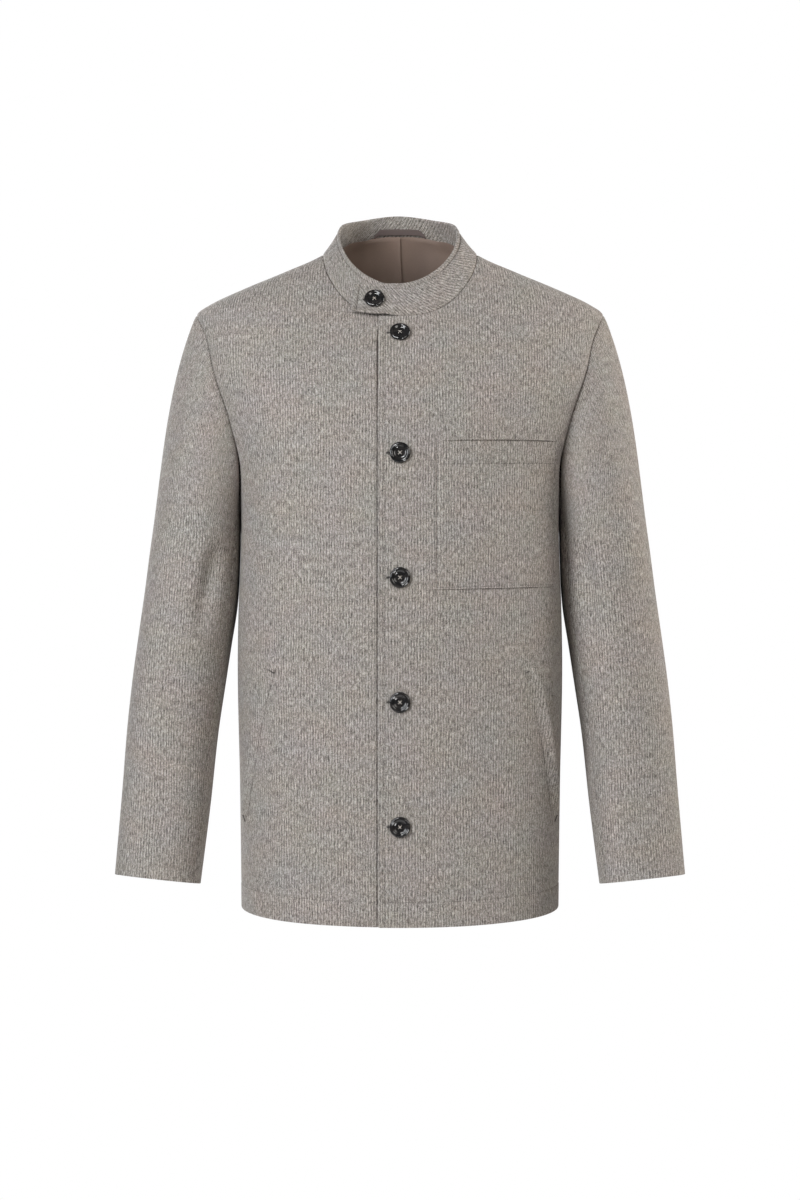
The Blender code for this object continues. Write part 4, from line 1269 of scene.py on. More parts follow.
class BLAZER_OT_lining(bpy.types.Operator):
    """Make the back lining that shows through the neck"""

    bl_idname = "blazer.lining"
    bl_label = "Lining"

    def execute(self, context):
        sizes = context.scene.blazer_sizes
        plain = edge_lines(sizes.lining_cloth, sizes.seam_gap)
        low_rows, high_rows = LINING_ROWS
        low_levels = np.linspace(LINING_LOW, 2.0, low_rows)
        high_levels = np.linspace(2.0 + CORNER_STEP, LINING_HIGH, high_rows)
        levels = np.concatenate((low_levels, high_levels))
        across, level = np.meshgrid(np.linspace(0, 1, LINING_STEPS), levels)
        high = np.clip(level - 2.0, 0.0, 1.0)
        above = (level > 2.0) & (across < COVER_PART)
        beside = LINING_SHARE * np.maximum(across - COVER_PART, 0.0) / (1.0 - COVER_PART)
        turn = math.pi + high * math.pi / 2
        for side, word in SIDES:
            past = PLEAT_SHARE * mix(PLEAT_LEAST, 1.0, ease((2.0 - level) / PLEAT_OPENING)) * (side < 0)
            share = np.where(level > 2.0, beside, mix(-past, LINING_SHARE, across))
            angle, height = panel_place(share, level, False)
            normal = normals(torso, angle, height)
            eased = ease(high / COVER_EASE) if side > 0 else 1.0
            lift = PLEAT_LIFT * (1.0 - ease(share / PLEAT_REACH)) * eased
            point = torso(angle, height) - normal * (sizes.cloth + LINING_GAP + lift)[..., None]
            climb = neck_cover(high, side) * np.maximum(1.0 - across / COVER_PART, 0.0)
            collar_normal = -normals(collar, turn, climb)
            on_collar = collar(turn, climb) - collar_normal * (sizes.collar_cloth + LINING_GAP)
            climbed = np.stack((0.0 * climb, climb * COVER_HEIGHT), axis=-1)
            fields = {
                "point": np.where(above[..., None], on_collar, point),
                "normal": np.where(above[..., None], collar_normal, normal),
                "level": (level - CORNER_STEP)[..., None],
                "cloth": body_cloth(angle, height, False) + climbed,
            }
            pitch = sizes.grid * LINING_GRID_SHARE
            fields = lay_out(mirror(fields, side), plain, plain, plain, plain, pitch)
            faces = shell_faces(fields, sizes.lining_cloth, crease_rise(fields["point"], "body"))
            sew_cloth(context, f"lining_back_{word}", faces, fields, satin, "lining")
        return {"FINISHED"}


class BLAZER_OT_loop(bpy.types.Operator):
    """Make the hanging loop inside the back of the neck"""

    bl_idname = "blazer.loop"
    bl_label = "Hanging loop"

    def execute(self, context):
        sizes = context.scene.blazer_sizes
        columns, rows = LOOP_STEPS
        place, share = np.meshgrid(np.linspace(-1, 1, columns), np.linspace(0, 1, rows))
        fall = ease((np.abs(place) - LOOP_LEVEL_SHARE) / (1.0 - LOOP_LEVEL_SHARE)) * LOOP_FALL
        turn = math.pi + place * LOOP_HALF_TURN
        height = mix(np.maximum(LOOP_LOW - fall, LOOP_END), LOOP_HIGH - fall, share)
        normal = -normals(collar, turn, height)
        stand = sizes.collar_cloth + LOOP_SEAT + LOOP_STAND * (1.0 - place ** 2)
        point = collar(turn, height) - normal * stand[..., None]
        cloth = np.stack((rise_lengths(point), run_lengths(point)), axis=-1)
        fields = {"point": point, "normal": normal, "cloth": cloth}
        plain = edge_lines(sizes.patch_cloth, 0.0)
        fields = lay_out(fields, plain, plain, plain, plain, LOOP_GRID)
        faces = shell_faces(fields, sizes.patch_cloth, np.zeros(fields["point"].shape[:-1]))
        sew_cloth(context, "hanging_loop", faces, fields, satin, "loop")
        return {"FINISHED"}


def patch_fields(angle, height, share, side):
    """Grid that lies on a front, with each point's share of the way across it."""
    fields = {
        "point": torso(angle, height),
        "normal": normals(torso, angle, height),
        "cloth": body_cloth(angle, height, True),
        "share": share[..., None],
    }
    return mirror(fields, side)


class BLAZER_OT_chest_pocket(bpy.types.Operator):
    """Make the patch pocket on the left front"""

    bl_idname = "blazer.chest_pocket"
    bl_label = "Chest pocket"

    def execute(self, context):
        sizes = context.scene.blazer_sizes
        steps = np.linspace(0, 1, POCKET_STEPS)
        share, level = np.meshgrid(steps, steps)
        height = mix(POCKET_BOTTOM, POCKET_TOP, level)
        inner_angle = angle_from_side(POCKET_INNER, height)
        outer_angle = angle_from_side(POCKET_OUTER, height)
        angle = mix(inner_angle, outer_angle, share)
        fields = patch_fields(angle, height + POCKET_LIFT * share, share, 1)
        thick = sizes.patch_cloth
        side = edge_lines(thick, 0.0, (sizes.pocket_stitch,))
        north = edge_lines(thick, 0.0, (sizes.pocket_hem,), extra=LIP_LINES + HEM_LINES)
        fields = lay_out(fields, side, side, side, north, sizes.grid)
        fields["point"] = fields["point"] + fields["normal"] * (sizes.patch_gap + thick)
        rise = crease_rise(fields["point"], "body")
        for edge, depth in POCKET_DRAW:
            rise += depth * stitch_relief(measure(fields, edge), sizes.pocket_stitch, sizes)
        top = measure(fields, "north")
        across = measure(fields, "share")
        rise += stitch_relief(top, sizes.pocket_hem, sizes)
        mouth = ease((across - MOUTH_START) / MOUTH_START_OVER)
        mouth = mouth * (1.0 - ease((across - MOUTH_END) / MOUTH_END_OVER))
        rise += mouth * sizes.pocket_lip * (1.0 - ease((top - LIP_WIDTH) / LIP_WIDTH))
        rise -= mouth * sizes.pocket_groove * np.exp(-((top - LIP_GROOVE) / LIP_GROOVE_WIDTH) ** 2)
        outer, inner = shell_faces(fields, thick, rise)
        line = line_index(side, 0.0, sizes.pocket_stitch)
        hem = line_index(north, 0.0, sizes.pocket_hem)
        SEWING["pocket_hem"] = outer[-1 - hem, line:-line]
        SEWING["pocket_inner"] = outer[line:-line, line]
        SEWING["pocket_outer"] = outer[line:-line, -1 - line]
        SEWING["pocket_bottom"] = outer[line, line:-line]
        sew_cloth(context, "chest_pocket", (outer, inner), fields, wool, "wool")
        return {"FINISHED"}


def welt_place(share, along):
    """Body angle and height on a hand-pocket welt: share 1 along the mouth, along 0 at its top."""
    height = mix(WELT_TOP[1], WELT_BOTTOM[1], along)
    first = angle_from_side(np.array(WELT_TOP[0]), np.array(WELT_TOP[1]))
    last = angle_from_side(np.array(WELT_BOTTOM[0]), np.array(WELT_BOTTOM[1]))
    edge = mix(first, last, along)
    ahead = torso(edge + WELT_STEP, height)
    behind = torso(edge - WELT_STEP, height)
    pace = np.linalg.norm(ahead - behind, axis=-1) / (2 * WELT_STEP)
    return edge - (1.0 - share) * WELT_WIDTH / pace, height


class BLAZER_OT_hand_pockets(bpy.types.Operator):
    """Make the welts of the slanting hand pockets"""

    bl_idname = "blazer.hand_pockets"
    bl_label = "Hand pockets"

    def execute(self, context):
        sizes = context.scene.blazer_sizes
        plain = edge_lines(sizes.patch_cloth, 0.0)
        columns, rows = WELT_STEPS
        share, along = np.meshgrid(np.linspace(0, 1, columns), np.linspace(0, 1, rows))
        angle, height = welt_place(share, along)
        for side, word in SIDES:
            fields = patch_fields(angle, height, share, side)
            fields["along"] = along[..., None]
            fields = lay_out(fields, plain, plain, plain, plain, WELT_GRID)
            swell = ease(fields["share"])
            thickness = mix(WELT_SEWN, sizes.patch_cloth, swell)
            gape = sizes.welt_gape if side > 0 else sizes.welt_gape_right
            opened = np.sin(math.pi * np.clip(fields["along"], 0.0, 1.0)) ** WELT_OPENING
            lift = sizes.patch_gap + gape * swell * opened
            roll = rim(nearest_edge(fields), sizes.patch_cloth) * thickness / sizes.patch_cloth
            normal = fields["normal"]
            base = fields["point"] + normal * crease_rise(fields["point"], "body")[..., None]
            outer = base + normal * (lift + thickness - roll)
            inner = base + normal * (lift + roll)
            for end, row in (("top", 0), ("bottom", -1)):
                SEWING[f"tack_{end}_{word}"] = tack_line(outer[row, -1], normal[row, -1], side, end)
            sew_cloth(context, f"pocket_welt_{word}", (outer, inner), fields, wool, "wool")
        return {"FINISHED"}


def tack_line(corner, normal, side, end):
    """Zigzag of a bar tack that runs in and down from the end of a pocket mouth."""
    length, fall = TACKS[end]
    across = unit(np.cross(normal, np.array((0.0, 0.0, 1.0)))) * side
    up = np.cross(normal, across) * side
    up = up * np.sign(up[2])
    across = across * -np.sign(across[0]) * side
    way = unit(across * length - up * fall)
    cross = np.cross(normal, way)
    places = np.linspace(0.0, 1.0, TACK_BARS)
    swing = np.where(np.arange(TACK_BARS) % 2, 0.5, -0.5) * TACK_WIDTH
    reach = math.hypot(length, fall)
    return corner + places[:, None] * reach * way + swing[:, None] * cross + normal * TACK_LIFT


def seat_button(surface, first, second, spreads, radius, outward):
    """Middle of a button's underside and its turn, lying just clear of the cloth all round."""
    first = np.array(first)
    second = np.array(second)
    point = surface(first, second)
    normal = normals(surface, first, second) * outward
    steps = np.linspace(-1, 1, SEAT_STEPS)
    one, two = np.meshgrid(steps, steps)
    around = surface(first + one * spreads[0], second + two * spreads[1]) - point
    height = np.sum(around * normal, axis=-1)
    flat = np.linalg.norm(around - height[..., None] * normal, axis=-1)
    rise = height[flat < radius * SEAT_SHARE].max()
    normal = Vector(normal)
    across = (Vector((1, 0, 0)) - normal * normal.x).normalized()
    turn = Matrix((across, normal.cross(across), normal)).transposed()
    return Matrix.Translation(Vector(point) + normal * (rise + SEAT_GAP)) @ turn.to_4x4()


def button_seats(sizes):
    """Name and place of every button."""
    radius = sizes.button_radius
    seats = []
    for place in range(FRONT_BUTTONS):
        height = BUTTON_TOP - place * BUTTON_PITCH
        seat = seat_button(torso, 0.0, height, FRONT_SEAT_REACH, radius, 1.0)
        seats.append((f"front_button_{place + 1}", seat))
    turn = mix(2 * math.pi, collar_end(), COLLAR_BUTTON_SHARE)
    seat = seat_button(collar, turn, TAB_SEAT_HEIGHT, TAB_SEAT_REACH, radius, -1.0)
    return seats + [("collar_button", seat)]


def button_mesh(sizes):
    """Turned button with a raised rim, a dished middle and four sewing holes."""
    outline = bpy.data.meshes.new("button_outline")
    points = [(share * sizes.button_radius, 0.0, height) for share, height in BUTTON_OUTLINE]
    outline.from_pydata(points, [(place, place + 1) for place in range(len(points) - 1)], [])
    turned = link_object("button_blank", outline)
    screw = turned.modifiers.new("turn", "SCREW")
    screw.steps = BUTTON_STEPS
    screw.render_steps = BUTTON_STEPS
    screw.use_merge_vertices = True
    screw.merge_threshold = BUTTON_MERGE
    screw.use_normal_calculate = True
    holes = bmesh.new()
    for place in range(BUTTON_HOLES):
        angle = (place + 0.5) * 2 * math.pi / BUTTON_HOLES
        spot = Vector((math.cos(angle), math.sin(angle), 0.0)) * sizes.button_hole_offset
        bmesh.ops.create_cone(holes, cap_ends=True, segments=HOLE_STEPS, radius1=sizes.button_hole,
                              radius2=sizes.button_hole, depth=HOLE_DEPTH, matrix=Matrix.Translation(spot))
    cutter_mesh = bpy.data.meshes.new("button_holes")
    holes.to_mesh(cutter_mesh)
    holes.free()
    cutter = link_object("button_holes", cutter_mesh)
    cut = turned.modifiers.new("holes", "BOOLEAN")
    cut.object = cutter
    mesh = plain_mesh(turned)
    bpy.data.objects.remove(turned, do_unlink=True)
    bpy.data.objects.remove(cutter, do_unlink=True)
    sheet = bmesh.new()
    sheet.from_mesh(mesh)
    bmesh.ops.remove_doubles(sheet, verts=sheet.verts[:], dist=BUTTON_MERGE)
    bmesh.ops.recalc_face_normals(sheet, faces=sheet.faces[:])
    if sheet.calc_volume(signed=True) < 0.0:
        bmesh.ops.reverse_faces(sheet, faces=sheet.faces[:])
    sheet.to_mesh(mesh)
    sheet.free()
    mesh.shade_smooth()
    mesh.set_sharp_from_angle(angle=BUTTON_SHARP)
    return mesh


class BLAZER_OT_buttons(bpy.types.Operator):
    """Make the buttons and sew them on"""

    bl_idname = "blazer.buttons"
    bl_label = "Buttons"

    def execute(self, context):
        sizes = context.scene.blazer_sizes
        blank = button_mesh(sizes)
        threads = []
        bows = np.linspace(-1.0, 1.0, CROSS_STEPS)
        reach = bows * sizes.button_hole_offset
        arch = CROSS_TOP - CROSS_ARCH * bows ** CROSS_ARCH_POWER
        lift = np.where(np.abs(bows) < CROSS_END, arch, CROSS_SUNK)
        for name, seat in button_seats(sizes):
            mesh = blank.copy()
            mesh.transform(seat)
            item = add_object(f"horn_{name}", mesh, horn(context))
            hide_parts(name)
            for turn in CROSS_TURNS:
                sine, cosine = math.sin(turn * math.pi), math.cos(turn * math.pi)
                for shift in CROSS_SHIFTS:
                    x = reach * cosine - shift * sine
                    y = reach * sine + shift * cosine
                    threads.append(np.array([seat @ Vector(point) for point in zip(x, y, lift)]))
        sew_thread_or_shade("button_thread", threads, CROSS_THREAD, thread_or_slit_shade(context, "button_thread"))
        return {"FINISHED"}


class BLAZER_OT_buttonholes(bpy.types.Operator):
    """Work the buttonholes with close zigzag thread, and lay a line of painted shade along each slit"""

    bl_idname = "blazer.buttonholes"
    bl_label = "Buttonholes"

    def execute(self, context):
        sizes = context.scene.blazer_sizes
        lines = []
        slit_shades = []
        slit = np.stack((np.linspace(-sizes.slit, KEYHOLE_INNER, SLIT_STEPS), np.zeros(SLIT_STEPS)), axis=-1)
        for name, seat in button_seats(sizes):
            flat = keyhole(sizes)
            if name == "collar_button":
                flat[:, 0] *= TAB_KEYHOLE_SHARE
            lines.append(lay_on_front(seat, flat, name, KEYHOLE_LIFT))
            slit_shades.append(lay_on_front(seat, slit, name, SLIT_LIFT))
        sew_thread_or_shade("buttonhole_thread", lines, KEYHOLE_THREAD, thread_or_slit_shade(context, "thread"))
        # Near-black line along each slit: painted shade in the cut, not thread
        sew_thread_or_shade("buttonhole_slit", slit_shades, SLIT_SHADE_WIDTH, thread_or_slit_shade(context, "slit"))
        return {"FINISHED"}


def keyhole(sizes):
    """Zigzag round a keyhole slit, its round eye towards the front edge."""
    straight = sizes.slit + KEYHOLE_INNER - EYE_RADIUS
    total = 2 * straight + 2 * math.pi * EYE_RADIUS * EYE_SHARE
    line = np.empty((KEYHOLE_STEPS, 2))
    for place, reach in enumerate(np.linspace(0.0, 1.0, KEYHOLE_STEPS) * total):
        if reach < straight:
            line[place] = KEYHOLE_INNER - reach, KEYHOLE_HALF
        elif reach > total - straight:
            line[place] = KEYHOLE_INNER - (total - reach), -KEYHOLE_HALF
        else:
            angle = mix(*EYE_TURNS, (reach - straight) / (total - 2 * straight)) * math.pi
            x = -sizes.slit + EYE_RADIUS + EYE_RADIUS * math.cos(angle) - EYE_RADIUS * EYE_SHIFT
            line[place] = x, EYE_RADIUS * math.sin(angle)
    ahead = np.gradient(line, axis=0)
    outward = unit(np.stack((ahead[:, 1], -ahead[:, 0]), axis=-1))
    swing = np.where(np.arange(KEYHOLE_STEPS) % 2, 0.0, -KEYHOLE_BITE)[:, None]
    return line + outward * swing


def lay_on_front(seat, flat, name, lift):
    """Put flat points round a button onto the cloth beneath it."""
    spots = np.array([seat @ Vector((x, y, 0.0)) for x, y in flat])
    if name == "collar_button":
        normal = np.array(seat.to_3x3() @ Vector((0, 0, 1)))
        columns, rows = TAB_SEARCH_STEPS
        turns = np.linspace(2 * math.pi - TAB_SEARCH_TURN, collar_end(), columns)
        grid = collar(*np.meshgrid(turns, np.linspace(*TAB_SEARCH_HEIGHTS, rows))).reshape(-1, 3)
        nearest = [grid[np.argmin(np.linalg.norm(grid - spot, axis=1))] for spot in spots]
        rise = [np.dot(near - spot, normal) for near, spot in zip(nearest, spots)]
        return spots + np.array(rise)[:, None] * normal + normal * lift
    height = spots[:, 2]
    angle = angle_from_side(spots[:, 0], height)
    return torso(angle, height) + normals(torso, angle, height) * lift


def start_tree(name, output, inputs):
    """New geometry tree with its sockets, and the nodes that hold them."""
    tree = bpy.data.node_groups.new(name, "GeometryNodeTree")
    tree.interface.new_socket(output, in_out="OUTPUT", socket_type="NodeSocketGeometry")
    for label, kind, default in inputs:
        socket = tree.interface.new_socket(label, in_out="INPUT", socket_type=kind)
        if default is not None:
            socket.default_value = default
    return tree, tree.nodes.new("NodeGroupInput"), tree.nodes.new("NodeGroupOutput")


def wire(tree, rows):
    """Link nodes, a row for each link: node, its output, next node, its input."""
    for node, output, following, target in rows:
        tree.links.new(node.outputs[output], following.inputs[target])


def finish_tree(tree, source, target, made, output):
    """End a tree: what it made becomes real and smooth, and gets the thread's material."""
    realize = tree.nodes.new("GeometryNodeRealizeInstances")
    smooth = tree.nodes.new("GeometryNodeSetShadeSmooth")
    finish = tree.nodes.new("GeometryNodeSetMaterial")
    tree.links.new(made, realize.inputs["Geometry"])
    wire(tree, (
        (realize, "Geometry", smooth, "Geometry"),
        (smooth, "Geometry", finish, "Geometry"),
        (source, "Thread", finish, "Material"),
        (finish, "Geometry", target, output),
    ))
    return tree


def stitch_tree():
    """Geometry nodes that set single stitches along a path."""
    tree, source, target = start_tree("stitch_row", "Stitches", STITCH_INPUTS)
    curve = tree.nodes.new("GeometryNodeMeshToCurve")
    points = add_node(tree, "GeometryNodeCurveToPoints", mode="LENGTH")
    ball = add_node(tree, "GeometryNodeMeshUVSphere", Segments=STITCH_SIDES, Rings=STITCH_RINGS, Radius=0.5)
    size = tree.nodes.new("ShaderNodeCombineXYZ")
    shape = tree.nodes.new("GeometryNodeTransform")
    place = tree.nodes.new("GeometryNodeInstanceOnPoints")
    low = math_node(tree, "MULTIPLY", source.outputs["Wander"], -1.0)
    wander = add_node(tree, "FunctionNodeRandomValue", data_type="FLOAT_VECTOR")
    turn = tree.nodes.new("GeometryNodeRotateInstances")
    tree.links.new(low, wander.inputs[0])
    wire(tree, (
        (source, "Path", curve, "Mesh"),
        (curve, "Curve", points, "Curve"),
        (source, "Pitch", points, "Length"),
        (source, "Thickness", size, "X"),
        (source, "Thickness", size, "Y"),
        (source, "Length", size, "Z"),
        (ball, "Mesh", shape, "Geometry"),
        (size, "Vector", shape, "Scale"),
        (points, "Points", place, "Points"),
        (shape, "Geometry", place, "Instance"),
        (points, "Rotation", place, "Rotation"),
        (source, "Wander", wander, 1),
        (source, "Seed", wander, "Seed"),
        (place, "Instances", turn, "Instances"),
        (wander, 0, turn, "Rotation"),
    ))
    return finish_tree(tree, source, target, turn.outputs["Instances"], "Stitches")


def thread_tree():
    """Geometry nodes that run one thick tube along a path: a thread, or the painted shade line of a slit."""
    tree, source, target = start_tree("thread_run", "Thread", THREAD_INPUTS)
    curve = tree.nodes.new("GeometryNodeMeshToCurve")
    ring = add_node(tree, "GeometryNodeCurvePrimitiveCircle", Resolution=THREAD_SIDES)
    tube = tree.nodes.new("GeometryNodeCurveToMesh")
    tube.inputs["Fill Caps"].default_value = True
    tree.links.new(math_node(tree, "MULTIPLY", source.outputs["Thickness"], 0.5), ring.inputs["Radius"])
    wire(tree, (
        (source, "Path", curve, "Mesh"),
        (curve, "Curve", tube, "Curve"),
        (ring, "Curve", tube, "Profile Curve"),
    ))
    return finish_tree(tree, source, target, tube.outputs["Mesh"], "Thread")


def run_tree(name, paths, tree, values):
    """Run a tree over paths and keep the result as a plain mesh."""
    points = np.concatenate(paths)
    edges = []
    start = 0
    for path in paths:
        edges += [(start + place, start + place + 1) for place in range(len(path) - 1)]
        start += len(path)
    mesh = bpy.data.meshes.new(f"{name}_path")
    mesh.from_pydata(points.tolist(), edges, [])
    carrier = link_object(f"{name}_path", mesh)
    modifier = carrier.modifiers.new("sewing", "NODES")
    modifier.node_group = tree
    sockets = {item.name: item.identifier for item in tree.interface.items_tree if item.in_out == "INPUT"}
    for key, value in values.items():
        modifier[sockets[key]] = value
    made = plain_mesh(carrier)
    carrier.modifiers.remove(modifier)
    bpy.data.objects.remove(carrier, do_unlink=True)
    if not made.polygons:
        raise RuntimeError(f"{name}: the sewing came out empty")
    made.name = name
    return add_object(name, made)


# A tube along paths: sewing thread, or the painted shade line along a buttonhole slit
def sew_thread_or_shade(name, paths, thickness, material):
    tree = bpy.data.node_groups.get("thread_run") or thread_tree()
    return run_tree(name, paths, tree, {"Thickness": thickness, "Thread": material})


class BLAZER_OT_topstitching(bpy.types.Operator):
    """Sew the stitch lines along edges, hems and pockets, and the bar tacks"""

    bl_idname = "blazer.topstitching"
    bl_label = "Topstitching"

    def execute(self, context):
        sizes = context.scene.blazer_sizes
        if not SEWING:
            raise RuntimeError("the cloth comes before its stitching")
        tree = bpy.data.node_groups.get("stitch_row") or stitch_tree()
        values = {
            "Pitch": sizes.stitch_pitch,
            "Length": sizes.stitch_length,
            "Thickness": sizes.thread,
            "Wander": STITCH_WANDER,
            "Seed": sizes.stitch_seed,
            "Thread": thread_or_slit_shade(context, "thread"),
        }
        groups = {
            "stitches_front": ("front_edge", "front_hem_left", "front_hem_right"),
            "stitches_back": ("back_hem_left", "back_hem_right"),
            "stitches_collar": ("collar_top", "collar_tab_end"),
            "stitches_pocket": ("pocket_hem", "pocket_inner", "pocket_outer", "pocket_bottom"),
        }
        for name, lines in groups.items():
            run_tree(name, [SEWING[line] for line in lines], tree, values)
        tacks = [line for name, line in SEWING.items() if name.startswith("tack")]
        sew_thread_or_shade("bar_tacks", tacks, sizes.thread * TACK_THREAD, thread_or_slit_shade(context, "thread"))
        return {"FINISHED"}


def add_node(tree, kind, **settings):
    """Add a node, setting its properties and its inputs by name."""
    node = tree.nodes.new(kind)
    for key, value in settings.items():
        if hasattr(node, key):
            setattr(node, key, value)
        else:
            node.inputs[key].default_value = value
    return node


def math_node(tree, operation, first, second):
    """Add a math node fed by numbers or sockets."""
    node = tree.nodes.new("ShaderNodeMath")
    node.operation = operation
    for place, value in enumerate((first, second)):
        if isinstance(value, (int, float)):
            node.inputs[place].default_value = value
        else:
            tree.links.new(value, node.inputs[place])
    return node.outputs["Value"]


def start_material(name, gloss):
    """New material with its gloss set, its node tree and its shader."""
    material = bpy.data.materials.new(name)
    material.use_nodes = True
    shader = material.node_tree.nodes["Principled BSDF"]
    for key, value in gloss.items():
        shader.inputs[key].default_value = value
    return material, material.node_tree, shader


def shade(colour, share):
    """A colour made darker or lighter."""
    return [channel * share for channel in colour[:3]] + [1.0]


def colour_ramp(tree, value, stops):
    """Colour that follows a value through two or three stops."""
    ramp = tree.nodes.new("ShaderNodeValToRGB")
    elements = ramp.color_ramp.elements
    for element, stop in ((elements[0], stops[0]), (elements[1], stops[-1])):
        element.position, element.color = stop
    for position, colour in stops[1:-1]:
        elements.new(position).color = colour
    tree.links.new(value, ramp.inputs["Fac"])
    return ramp.outputs["Color"]


def weigh(tree, first, second, weights):
    """Weighted sum of two values."""
    return math_node(tree, "ADD", math_node(tree, "MULTIPLY", first, weights[0]),
                     math_node(tree, "MULTIPLY", second, weights[1]))


def add_bump(tree, shader, height, relief):
    """Let a pattern's height, with its strength and distance, bend the light on a finish."""
    strength, distance = relief
    bump = add_node(tree, "ShaderNodeBump", Strength=strength, Distance=distance)
    tree.links.new(height, bump.inputs["Height"])
    tree.links.new(bump.outputs["Normal"], shader.inputs["Normal"])


def scaled(tree, source, scale, shift=(0.0, 0.0, 0.0)):
    """Coordinates scaled so that one unit is one feature of a pattern."""
    node = add_node(tree, "ShaderNodeMapping", Scale=scale, Location=shift)
    tree.links.new(source, node.inputs["Vector"])
    return node.outputs["Vector"]


def noise(tree, vector, detail=2.0, roughness=0.5):
    node = add_node(tree, "ShaderNodeTexNoise", Scale=1.0, Detail=detail, Roughness=roughness)
    tree.links.new(vector, node.inputs["Vector"])
    return node.outputs["Fac"]


def cells(tree, vector):
    """Random value in small cells, as of single yarn floats."""
    node = add_node(tree, "ShaderNodeTexVoronoi", Scale=1.0)
    split = tree.nodes.new("ShaderNodeSeparateColor")
    tree.links.new(vector, node.inputs["Vector"])
    tree.links.new(node.outputs["Color"], split.inputs["Color"])
    return split.outputs["Red"]


def mix_colours(tree, blend, factor, first, second):
    """Mix two colours, each a socket or a value."""
    node = tree.nodes.new("ShaderNodeMix")
    node.data_type = "RGBA"
    node.blend_type = blend
    colour_inputs = [socket for socket in node.inputs if socket.type == "RGBA"]
    for socket, value in zip([node.inputs["Factor"]] + colour_inputs, (factor, first, second)):
        if isinstance(value, bpy.types.NodeSocket):
            tree.links.new(value, socket)
        else:
            socket.default_value = value
    return [socket for socket in node.outputs if socket.type == "RGBA"][0]


def wool(context, name):
    """Melange worsted: mixed light and dark yarns in a fine upright streak, with soft shade changes."""
    found = bpy.data.materials.get(name + "_cloth")
    if found:
        return found
    colours = context.scene.blazer_colours
    material, tree, shader = start_material(name + "_cloth", WOOL_GLOSS)
    cloth = add_node(tree, "ShaderNodeUVMap", uv_map=CLOTH_MAP).outputs["UV"]
    patterns = {"fleck": cells(tree, scaled(tree, cloth, FLECK_SCALE))}
    for key, (scale, shift, detail, roughness) in WOOL_PATTERNS.items():
        patterns[key] = noise(tree, scaled(tree, cloth, scale, shift), detail, roughness)
    place = tree.nodes.new("ShaderNodeSeparateXYZ")
    tree.links.new(cloth, place.inputs["Vector"])
    phase = weigh(tree, place.outputs["X"], patterns["wander"], (2 * math.pi / RIB_PITCH, RIB_WANDER))
    rib = math_node(tree, "MULTIPLY", math_node(tree, "SINE", phase, 0.0), patterns["patchy"])
    patterns["rib"] = math_node(tree, "ADD", math_node(tree, "MULTIPLY", rib, 0.5), 0.5)
    tone = None
    for key, weight in TONE_WEIGHTS.items():
        part = math_node(tree, "MULTIPLY", math_node(tree, "SUBTRACT", patterns[key], 0.5), weight)
        tone = part if tone is None else math_node(tree, "ADD", tone, part)
    tone = math_node(tree, "ADD", tone, 0.5)
    stops = ((0.0, colours.wool_dark), (0.5, colours.wool_mid), (1.0, colours.wool_light))
    tinted = colour_ramp(tree, tone, stops)
    for fine, broad, shift, first, second in TINTS:
        near, far = (noise(tree, scaled(tree, cloth, scale, shift), roughness=roughness)
                     for scale, roughness in zip((fine, broad), TINT_ROUGHNESS))
        share = math_node(tree, "SUBTRACT", weigh(tree, near, far, TINT_WEIGHTS), 0.5)
        tint = mix_colours(tree, "MIX", share, getattr(colours, first), getattr(colours, second))
        tinted = mix_colours(tree, "MULTIPLY", 1.0, tinted, tint)
    tree.links.new(tinted, shader.inputs["Base Color"])
    weave = weigh(tree, patterns["streak"], patterns["grain"], (BUMP_WEIGHT, BUMP_WEIGHT))
    add_bump(tree, shader, weave, WOOL_BUMP)
    return material


def satin(context, name):
    """Satin lining: fine twill lines, slight colour clouds and a soft gloss."""
    found = bpy.data.materials.get(name + "_satin")
    if found:
        return found
    colour = getattr(context.scene.blazer_colours, name)
    material, tree, shader = start_material(name + "_satin", SATIN_GLOSS)
    cloth = add_node(tree, "ShaderNodeUVMap", uv_map=CLOTH_MAP).outputs["UV"]
    twill = noise(tree, scaled(tree, cloth, TWILL_SCALE))
    cloud = noise(tree, scaled(tree, cloth, CLOUD_SCALE), 3.0)
    stops = [(position, shade(colour, share)) for position, share in SATIN_SHADES]
    shaded = colour_ramp(tree, weigh(tree, twill, cloud, SATIN_WEIGHTS), stops)
    tree.links.new(shaded, shader.inputs["Base Color"])
    add_bump(tree, shader, twill, SATIN_BUMP)
    return material


def horn(context):
    """Polished dark horn with paler clouds."""
    found = bpy.data.materials.get("polished_horn")
    if found:
        return found
    colours = context.scene.blazer_colours
    material, tree, shader = start_material("polished_horn", HORN_GLOSS)
    place = tree.nodes.new("ShaderNodeTexCoord").outputs["Object"]
    cloud = noise(tree, scaled(tree, place, HORN_SCALE), 4.0, 0.6)
    clouded = colour_ramp(tree, cloud, list(zip(HORN_STOPS, (colours.horn, colours.horn_cloud))))
    tree.links.new(clouded, shader.inputs["Base Color"])
    rough = tree.nodes.new("ShaderNodeMapRange")
    rough.inputs["To Min"].default_value, rough.inputs["To Max"].default_value = POLISH
    tree.links.new(noise(tree, scaled(tree, place, POLISH_SCALE)), rough.inputs["Value"])
    tree.links.new(rough.outputs["Result"], shader.inputs["Roughness"])
    return material


def thread_or_slit_shade(context, name):
    """Twisted sewing thread, or the near-black painted shade along a buttonhole slit."""
    found = bpy.data.materials.get(name + "_yarn")
    if found:
        return found
    # The slit takes a near-black colour: painted shade in the cut
    colour = SLIT_SHADE_COLOUR if name == "slit" else getattr(context.scene.blazer_colours, name)
    material, tree, shader = start_material(name + "_yarn", THREAD_GLOSS)
    place = tree.nodes.new("ShaderNodeTexCoord").outputs["Object"]
    twist = noise(tree, scaled(tree, place, TWIST_SCALE))
    stops = [(position, shade(colour, share)) for position, share in THREAD_SHADES]
    tree.links.new(colour_ramp(tree, twist, stops), shader.inputs["Base Color"])
    return material


